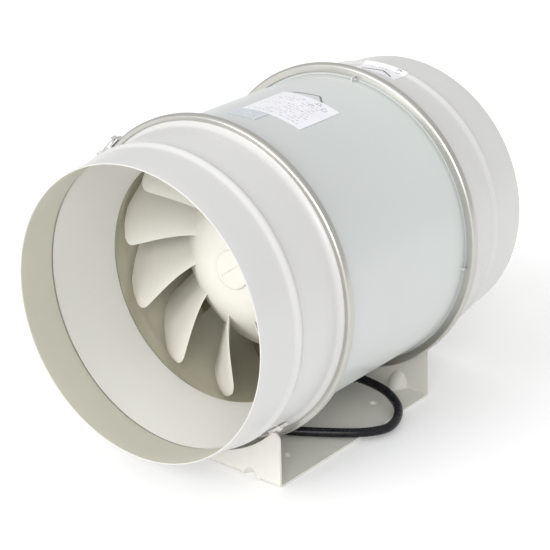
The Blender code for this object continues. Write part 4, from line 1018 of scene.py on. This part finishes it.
def offset_grid(shape, middle, thickness, sign):
    """A grid of points moved off its middle by half the thickness, along its own normals."""
    last_row, last_column = len(middle) - 1, len(middle[0]) - 1
    layer = []
    for i, row in enumerate(middle):
        line = []
        for j, point in enumerate(row):
            along = middle[min(i + 1, last_row)][j] - middle[max(i - 1, 0)][j]
            across = row[min(j + 1, last_column)] - row[max(j - 1, 0)]
            normal = along.cross(across).normalized()
            line.append(shape.verts.new(point + normal * sign * thickness[i][j] / 2))
        layer.append(line)
    return layer


def sheet_solid(name, middle, thickness):
    """A closed solid round a grid of points, thickened to both sides."""
    rows, columns = len(middle), len(middle[0])
    shape = bmesh.new()
    top, under = (offset_grid(shape, middle, thickness, sign) for sign in (1, -1))
    for layer in (top, under):
        for i in range(rows - 1):
            for j in range(columns - 1):
                shape.faces.new((layer[i][j], layer[i][j + 1], layer[i + 1][j + 1], layer[i + 1][j]))
    rim = [(i, 0) for i in range(rows)]
    rim += [(rows - 1, j) for j in range(1, columns)]
    rim += [(i, columns - 1) for i in range(rows - 2, -1, -1)]
    rim += [(0, j) for j in range(columns - 2, 0, -1)]
    for (i, j), (k, m) in zip(rim, rim[1:] + rim[:1]):
        shape.faces.new((top[i][j], top[k][m], under[k][m], under[i][j]))
    return object_of(name, shape, on_fan_axis(), SHARP_BLADE)


def corner_turn(span, start):
    """How far a blade's edge has turned in at its tip, along a quarter of an ellipse."""
    reach = max(0.0, span - start) / (1 - start)
    return 1 - math.sqrt(max(0.0, 1 - reach**2))


def blade_point(chord, span):
    """A point on a blade's middle surface: chord 0 is the leading edge, span 0 is the hub."""
    leading_cut = BLADE_CORNER_CUT[0] * (1 - chord) * corner_turn(span, BLADE_CORNER_START[0])
    trailing_cut = BLADE_CORNER_CUT[1] * chord * corner_turn(span, BLADE_CORNER_START[1])
    chord += leading_cut - trailing_cut
    root, tip = between(BLADE_ROOT, chord), between(BLADE_TIP, chord)
    root_radius = read_line(millimetres(*HUB_OUTSIDE), root) - ROOT_DEPTH
    shroud_radius = read_line(millimetres(*SHROUD_INSIDE), tip)
    tip_radius = min(shroud_radius - TIP_GAP, between(BLADE_TIP_RADIUS, chord))
    bulge = 4 * span * (1 - span)
    distance = between((root, tip), span) + BLADE_BULGE_ALONG * bulge
    radius = between((root_radius, tip_radius), span) + BLADE_BULGE_OUT * bulge
    bow = 4 * chord * (1 - chord) * BLADE_TIP_BOW
    angles = (between(BLADE_ROOT_ANGLE, chord), between(BLADE_TIP_ANGLE, chord) + bow)
    lean = span * (1 + BLADE_SWEEP - BLADE_SWEEP * span)
    return distance, radius, math.radians(between(angles, lean))


def blade_thickness(chord, span):
    """A blade's section, thinner towards its tip and rounded off over the last tenth of its span."""
    tip_round = math.sqrt(max(0.05, 1 - max(0.0, (span - 0.9) / 0.1) ** 2))
    return BLADE_THICKNESS * blade_section(chord) * tip_round * between(BLADE_THINNING, span)


def impeller_blade(blade):
    middle, thickness = [], []
    for chord in evenly_spaced(22):
        row = []
        for span in evenly_spaced(26):
            distance, radius, angle = blade_point(chord, span)
            angle += FIRST_BLADE_ANGLE + FULL_TURN * blade / BLADE_COUNT
            row.append(on_ring(behind_inlet(distance), radius, angle))
        middle.append(row)
        thickness.append([blade_thickness(chord, span) for span in evenly_spaced(26)])
    piece = sheet_solid(f"impeller_blade_{blade + 1}", middle, thickness)
    show(piece, "impeller_plastic", body="rotor")


def impeller():
    hub = smooth_stations(HUB_OUTSIDE) + smooth_stations(HUB_INSIDE[:6]) + stations(HUB_INSIDE[6:])
    bore = SHAFT_RADIUS + GAP
    hub += [(hub[-1][0], bore), (behind_inlet(HUB_FACE), bore)]
    show(turned("impeller_hub", hub), "impeller_plastic", ["impeller"], "rotor")
    for blade in range(BLADE_COUNT):
        impeller_blade(blade)
    impeller_cap()


def impeller_cap():
    """The cap over the shaft's end: slightly domed, with a soft edge and one slot."""
    front, back = behind_inlet(CAP_FACE), behind_inlet(HUB_FACE - GAP)
    dome = [(front + 0.5 * MM * share**2, CAP_RADIUS * 0.88 * share) for share in evenly_spaced(8)]
    edge = [(front + 0.75 * MM, CAP_RADIUS * 0.95), (front + 1.3 * MM, CAP_RADIUS * 0.995)]
    outline = dome + edge + [(back, CAP_RADIUS), (back, 0)]
    cap = turned("impeller_cap_dome", outline, ROUND_MEDIUM)
    slant = Matrix.Rotation(CAP_SLOT_ANGLE, 4, "Y")
    cut(cap, block("cap_slot", CAP_SLOT, on_fan_axis() @ Matrix.Translation((0, front, 0)) @ slant))
    show(settled(softened(cap, 0.3 * MM, 3)), "impeller_plastic", ["impeller_cap"], "rotor")


# Bracket


def flange_cutter():
    """What is cut from the upright flanges: the space above their tapered sides and saddle."""
    over = BRACKET_HALF_WIDTH + 8 * MM
    corner = (BRACKET_HALF_WIDTH - FLANGE_TAPER - FLANGE_CORNER, FLANGE_TOP - FLANGE_CORNER)
    drop = SADDLE_CENTRE_HEIGHT - FLANGE_TOP
    meet = math.degrees(math.acos(drop / SADDLE_RADIUS))
    left = arc((-corner[0], corner[1]), FLANGE_CORNER, 180, 90, 8)
    saddle = arc((0, SADDLE_CENTRE_HEIGHT), SADDLE_RADIUS, -90 - meet, -90 + meet, 60)
    right = arc(corner, FLANGE_CORNER, 90, 0, 8)
    foot = [(BRACKET_HALF_WIDTH + GAP, FLANGE_FOOT), (over, FLANGE_FOOT)]
    outline = [(-x, z) for x, z in reversed(foot)] + left + saddle + right
    outline += foot + [(over, over), (-over, over)]
    return prism("flange_cutter", outline, 3 * BRACKET_HALF_LENGTH, Matrix.Identity(4))


def gusset(side, hand, half_width, reach, depth):
    """A rib pressed across the fold: a loft of slanting triangles that are tallest in the middle."""
    fold = Vector((hand * GUSSET_X, side * BRACKET_HALF_LENGTH, 0))
    inwards, up = Vector((0, -side, 0)), Vector((0, 0, 1))
    shape = bmesh.new()
    rings = []
    steps = 24
    for step in range(steps + 1):
        angle = math.pi * step / steps
        here = fold + Vector((half_width * math.cos(angle), 0, 0))
        tall = depth + max(reach * math.sin(angle), GUSSET_SKIN) - min(depth, 0)
        corner = here + (inwards + up) * depth
        foot = here + inwards * tall + up * depth
        top = here + inwards * depth + up * tall
        rings.append([shape.verts.new(spot) for spot in (corner, foot, top)])
    join_rings(shape, rings)
    return object_of("gusset", shape)


def tab_direction(hand):
    return Vector((hand * math.cos(TAB_ANGLE), 0, -math.sin(TAB_ANGLE)))


def spigot_tab(side, hand):
    out = tab_direction(hand) * (TAB_RADIUS + TAB_SIZE[0] / 2)
    centre = Vector((0, side * TAB_Y, AXIS_HEIGHT)) + out
    place = Matrix.Translation(centre) @ Matrix.Rotation(hand * TAB_ANGLE, 4, "Y")
    return block("spigot_tab", TAB_SIZE, place)


def side_tab():
    """The upright tab on the left that carries the terminal box."""
    centre = (SIDE_TAB_X + GAP + PLATE / 2, SIDE_TAB_Y, SIDE_TAB_HEIGHT / 2 + PLATE / 4)
    size = (PLATE, SIDE_TAB_LENGTH, SIDE_TAB_HEIGHT)
    return block("side_tab", size, Matrix.Translation(centre))


def mounting_holes():
    reach = MOUNTING_HOLE_SPACING / 2
    spots = [(x, y) for x in (-reach, reach) for y in (-reach, reach)]
    ends = [((x, y, -5 * MM), (x, y, 8 * MM)) for x, y in spots]
    return rods("mounting_holes", ends, MOUNTING_HOLE_RADIUS)


def bracket():
    """A folded channel with rounded folds, saddles in its ends, gussets, tabs and holes."""
    end, top = BRACKET_HALF_LENGTH, FLANGE_TOP + 5 * MM
    centre = (-end + PLATE + FOLD_RADIUS, PLATE + FOLD_RADIUS)
    outer_fold = arc(centre, PLATE + FOLD_RADIUS, 270, 180, 6)
    inner_fold = arc(centre, FOLD_RADIUS, 180, 270, 6)
    channel = outer_fold + [(-end, top), (PLATE - end, top)] + inner_fold
    channel += [(-y, z) for y, z in reversed(channel)]
    quarter_turn = Matrix.Rotation(math.pi / 2, 4, "Z")
    base = prism("folded_bracket", channel, 2 * BRACKET_HALF_WIDTH, quarter_turn)
    cut(base, flange_cutter())
    corners = [(side, hand) for side in (-1, 1) for hand in (-1, 1)]
    for side, hand in corners:
        add(base, spigot_tab(side, hand))
        add(base, gusset(side, hand, GUSSET_HALF_WIDTH, GUSSET_REACH, GUSSET_SKIN))
    add(base, side_tab())
    hollow_reach = GUSSET_REACH - PLATE * math.sqrt(2)
    for side, hand in corners:
        cut(base, gusset(side, hand, GUSSET_HALF_WIDTH - PLATE, hollow_reach, -5 * MM))
    cut(base, mounting_holes())
    show(settled(softened(base, 0.3 * MM)), "bracket_paint", ["mounting_bracket"])


def rivets():
    """Domed rivets through the bracket's tabs, with the flat heads inside the spigots."""
    profile = millimetres(*RIVET_HEAD, *RIVET_SHANK, *RIVET_FLAT_HEAD)
    outline = [(TAB_RADIUS + along, radius) for along, radius in profile]
    for end, side in (("inlet", -1), ("outlet", 1)):
        for edge, hand in (("left", -1), ("right", 1)):
            outwards = tab_direction(hand).to_track_quat("Y", "Z").to_matrix().to_4x4()
            place = Matrix.Translation((0, side * TAB_Y, AXIS_HEIGHT)) @ outwards
            rivet = turned(f"rivet_{end}_{edge}", outline, ROUND_SMALL, place=place)
            show(rivet, "zinc_steel", [f"bracket_rivet_{end}_{edge}"])


# Labels


def wrapped(shape, corners, radius_at, thickness, steps):
    """A thin patch laid on a round surface; its first two corners are one long edge's ends."""
    near_first, near_last, far_last, far_first = [Vector(corner) for corner in corners]
    rings = []
    for share in evenly_spaced(steps):
        ring = []
        for along, turn in (near_first.lerp(near_last, share), far_first.lerp(far_last, share)):
            for radius in (radius_at(along), radius_at(along) + thickness):
                ring.append(shape.verts.new(on_ring(along, radius, math.radians(turn))))
        rings.append([ring[0], ring[1], ring[3], ring[2]])
    join_rings(shape, rings)


def stroke(shape, first, last, width, radius_at, steps=10):
    """A printed line between two (y, degrees) points."""
    degrees_each = 180 / (math.pi * BODY_RADIUS)
    along = Vector((last[0] - first[0], (last[1] - first[1]) / degrees_each))
    across = Vector((-along.y, along.x)).normalized() * width / 2
    side_y, side_turn = across.x, across.y * degrees_each
    corners = (
        (first[0] - side_y, first[1] - side_turn),
        (last[0] - side_y, last[1] - side_turn),
        (last[0] + side_y, last[1] + side_turn),
        (first[0] + side_y, first[1] + side_turn),
    )
    wrapped(shape, corners, radius_at, INK_THICKNESS, steps)


def ring_mark(shape, centre, radius, width, radius_at, sweep=360, start=0):
    degrees_each = 180 / (math.pi * BODY_RADIUS)
    points = arc((0, 0), radius, start, start + sweep, 16)
    for (x, z), (u, w) in zip(points, points[1:]):
        first = (centre[0] + x, centre[1] + z * degrees_each)
        last = (centre[0] + u, centre[1] + w * degrees_each)
        stroke(shape, first, last, width, radius_at, 1)


def dashes(shape, y, first, last, seed, radius_at):
    """A row of short strokes of uneven length, running round the body."""
    turn, step = first, seed
    while turn < last:
        step = (step * 37 + 11) % 101
        length = 0.35 + 1.3 * step / 101
        if step % 4:
            stroke(shape, (y, turn), (y, min(turn + length, last)), DASH_WIDTH, radius_at, 3)
        turn += length + 0.75


def label_sheet(name, edges, turns, radius_at, look, nodes=()):
    """A film between two places along the fan, and two turns round it in degrees."""
    shape = bmesh.new()
    strips = 10
    for strip in range(strips):
        start, end = between(edges, strip / strips), between(edges, (strip + 1) / strips)
        corners = ((start, turns[0]), (start, turns[1]), (end, turns[1]), (end, turns[0]))
        wrapped(shape, corners, radius_at, FILM_THICKNESS, 24)
    bmesh.ops.remove_doubles(shape, verts=shape.verts, dist=WELD)
    inner = [face for face in shape.faces if all(len(edge.link_faces) > 2 for edge in face.edges)]
    bmesh.ops.delete(shape, geom=inner, context="FACES_ONLY")
    show(object_of(name, shape, on_fan_axis()), "label_film", nodes, look=look)


def above_body(height):
    return lambda along: BODY_RADIUS + height


def above_spigot(height):
    return lambda along: spigot_radius(HALF_LENGTH - along) + height


def rating_label():
    """The body's sticker, with marks that say nothing, and a smoked film that joins it."""
    paint_top, film_top = above_body(FILM_GAP), above_body(INK_GAP)
    film_look = LOOKS["label_film"]
    label_sheet("rating_film", (-33 * MM, 22 * MM), (72, 98), paint_top, film_look, ["rating_label"])
    label_sheet("smoked_film", (-52 * MM, -34 * MM), (86, 99), paint_top, SMOKE_LOOK)
    ink = bmesh.new()
    for row in range(11):
        y = (-28 + 4.3 * row) * MM
        dashes(ink, y, 75 + (row % 3), 96 - (row % 4) * 2.5, row * 7 + 3, film_top)
    ring_mark(ink, (12 * MM, 76), 2.2 * MM, 0.8 * MM, film_top, 270, 40)
    ring_mark(ink, (17 * MM, 80), 1.8 * MM, 0.7 * MM, film_top)
    ring_mark(ink, (10 * MM, 81.5), 1.8 * MM, 0.7 * MM, film_top)
    for row in range(4):
        y = (-49 + 3.6 * row) * MM
        dashes(ink, y, 88, 97, row * 13 + 5, film_top)
    show(object_of("rating_print", ink, on_fan_axis()), "label_film", look=INK_LOOK)


def body_arrow():
    """A chevron printed on the body, pointing the way the air goes."""
    paint_top = above_body(FILM_GAP)
    arrow = bmesh.new()
    tip = (32 * MM, 84.5)
    stroke(arrow, tip, (26 * MM, 95), 0.9 * MM, paint_top)
    stroke(arrow, tip, (22.5 * MM, 80.5), 1.5 * MM, paint_top)
    show(object_of("body_arrow_print", arrow, on_fan_axis()), "label_film", look=ARROW_LOOK)


def airflow_label():
    """The outlet spigot's sticker, with a chevron, two rings and a row of dashes."""
    film_look, film_top = LOOKS["label_film"], above_spigot(INK_GAP)
    edges, turns = (122 * MM, 148 * MM), (78, 98)
    label_sheet("airflow_film", edges, turns, above_spigot(FILM_GAP), film_look, ["airflow_label"])
    marks = bmesh.new()
    for turn in (94, 80.5):
        stroke(marks, (130.7 * MM, 86), (123.5 * MM, turn), 2 * MM, film_top)
    ring_mark(marks, (139 * MM, 81.5), 2.4 * MM, 0.8 * MM, film_top)
    ring_mark(marks, (138 * MM, 86), 2 * MM, 0.7 * MM, film_top, 250, 60)
    dashes(marks, 137.5 * MM, 88, 95, 9, film_top)
    show(object_of("airflow_print", marks, on_fan_axis()), "label_film", look=ARROW_LOOK)


# Studio


def sun(name, direction, strength, softness):
    """Even light along a direction, from a patch of sky this many degrees wide."""
    data = bpy.data.lights.new(name, "SUN")
    data.energy = strength
    data.angle = math.radians(softness)
    obj = bpy.data.objects.new(name, data)
    obj.rotation_euler = Vector(direction).to_track_quat("-Z", "Y").to_euler()
    obj.location = (0, 0, 2)
    bpy.context.scene.collection.objects.link(obj)


def studio_floor():
    shape = bmesh.new()
    bmesh.ops.create_grid(shape, x_segments=1, y_segments=1, size=12)
    floor = object_of("studio_floor", shape, Matrix.Translation((0, 0, -0.2 * MM)))
    shader = Shader("floor_look", (0.98, 0.98, 0.98), 0.9)
    shader.vary_roughness(0.85, 0.95, shader.noise(3.0))
    shader.set("Emission Color", (1, 1, 1, 1))
    shader.set("Emission Strength", 0.08)
    floor.data.materials.append(shader.material)


def studio():
    studio_floor()
    world = bpy.data.worlds.new("studio_world")
    world.use_nodes = True
    background = world.node_tree.nodes["Background"]
    background.inputs["Color"].default_value = (1, 1, 1, 1)
    background.inputs["Strength"].default_value = 0.70
    bpy.context.scene.world = world
    sun("key_light", (0.28, 0.88, -0.38), 1.45, 35)
    sun("camera_side_light", (-0.50, 0.76, -0.42), 1.0, 30)
    sun("top_light", (0.25, 0.2, -1.0), 0.3, 60)
    bpy.context.scene.view_settings.view_transform = "Standard"


def dress_cad_nodes():
    """Pieces that scene.py leaves as the frame has them take the same materials as the rest."""
    for item in frame["record"]["subparts"]:
        node = frame["nodes"][item["node"]]
        if item["material_slot"] in LOOKS and not node.hide_render:
            node.data.materials.clear()
            node.data.materials.append(LOOKS[item["material_slot"]])


def main():
    camera()
    cables()
    for name, side in (("inlet", -1), ("outlet", 1)):
        spigot(name + "_spigot", side)
        joint_gasket(name + "_gasket", side)
        clamp_band(name + "_clamp_band", side)
        latch(name, side)
    body_casing()
    inlet_nozzle()
    guide_vane_housing()
    impeller()
    bracket()
    rivets()
    rating_label()
    body_arrow()
    airflow_label()
    dress_cad_nodes()
    studio()


main()
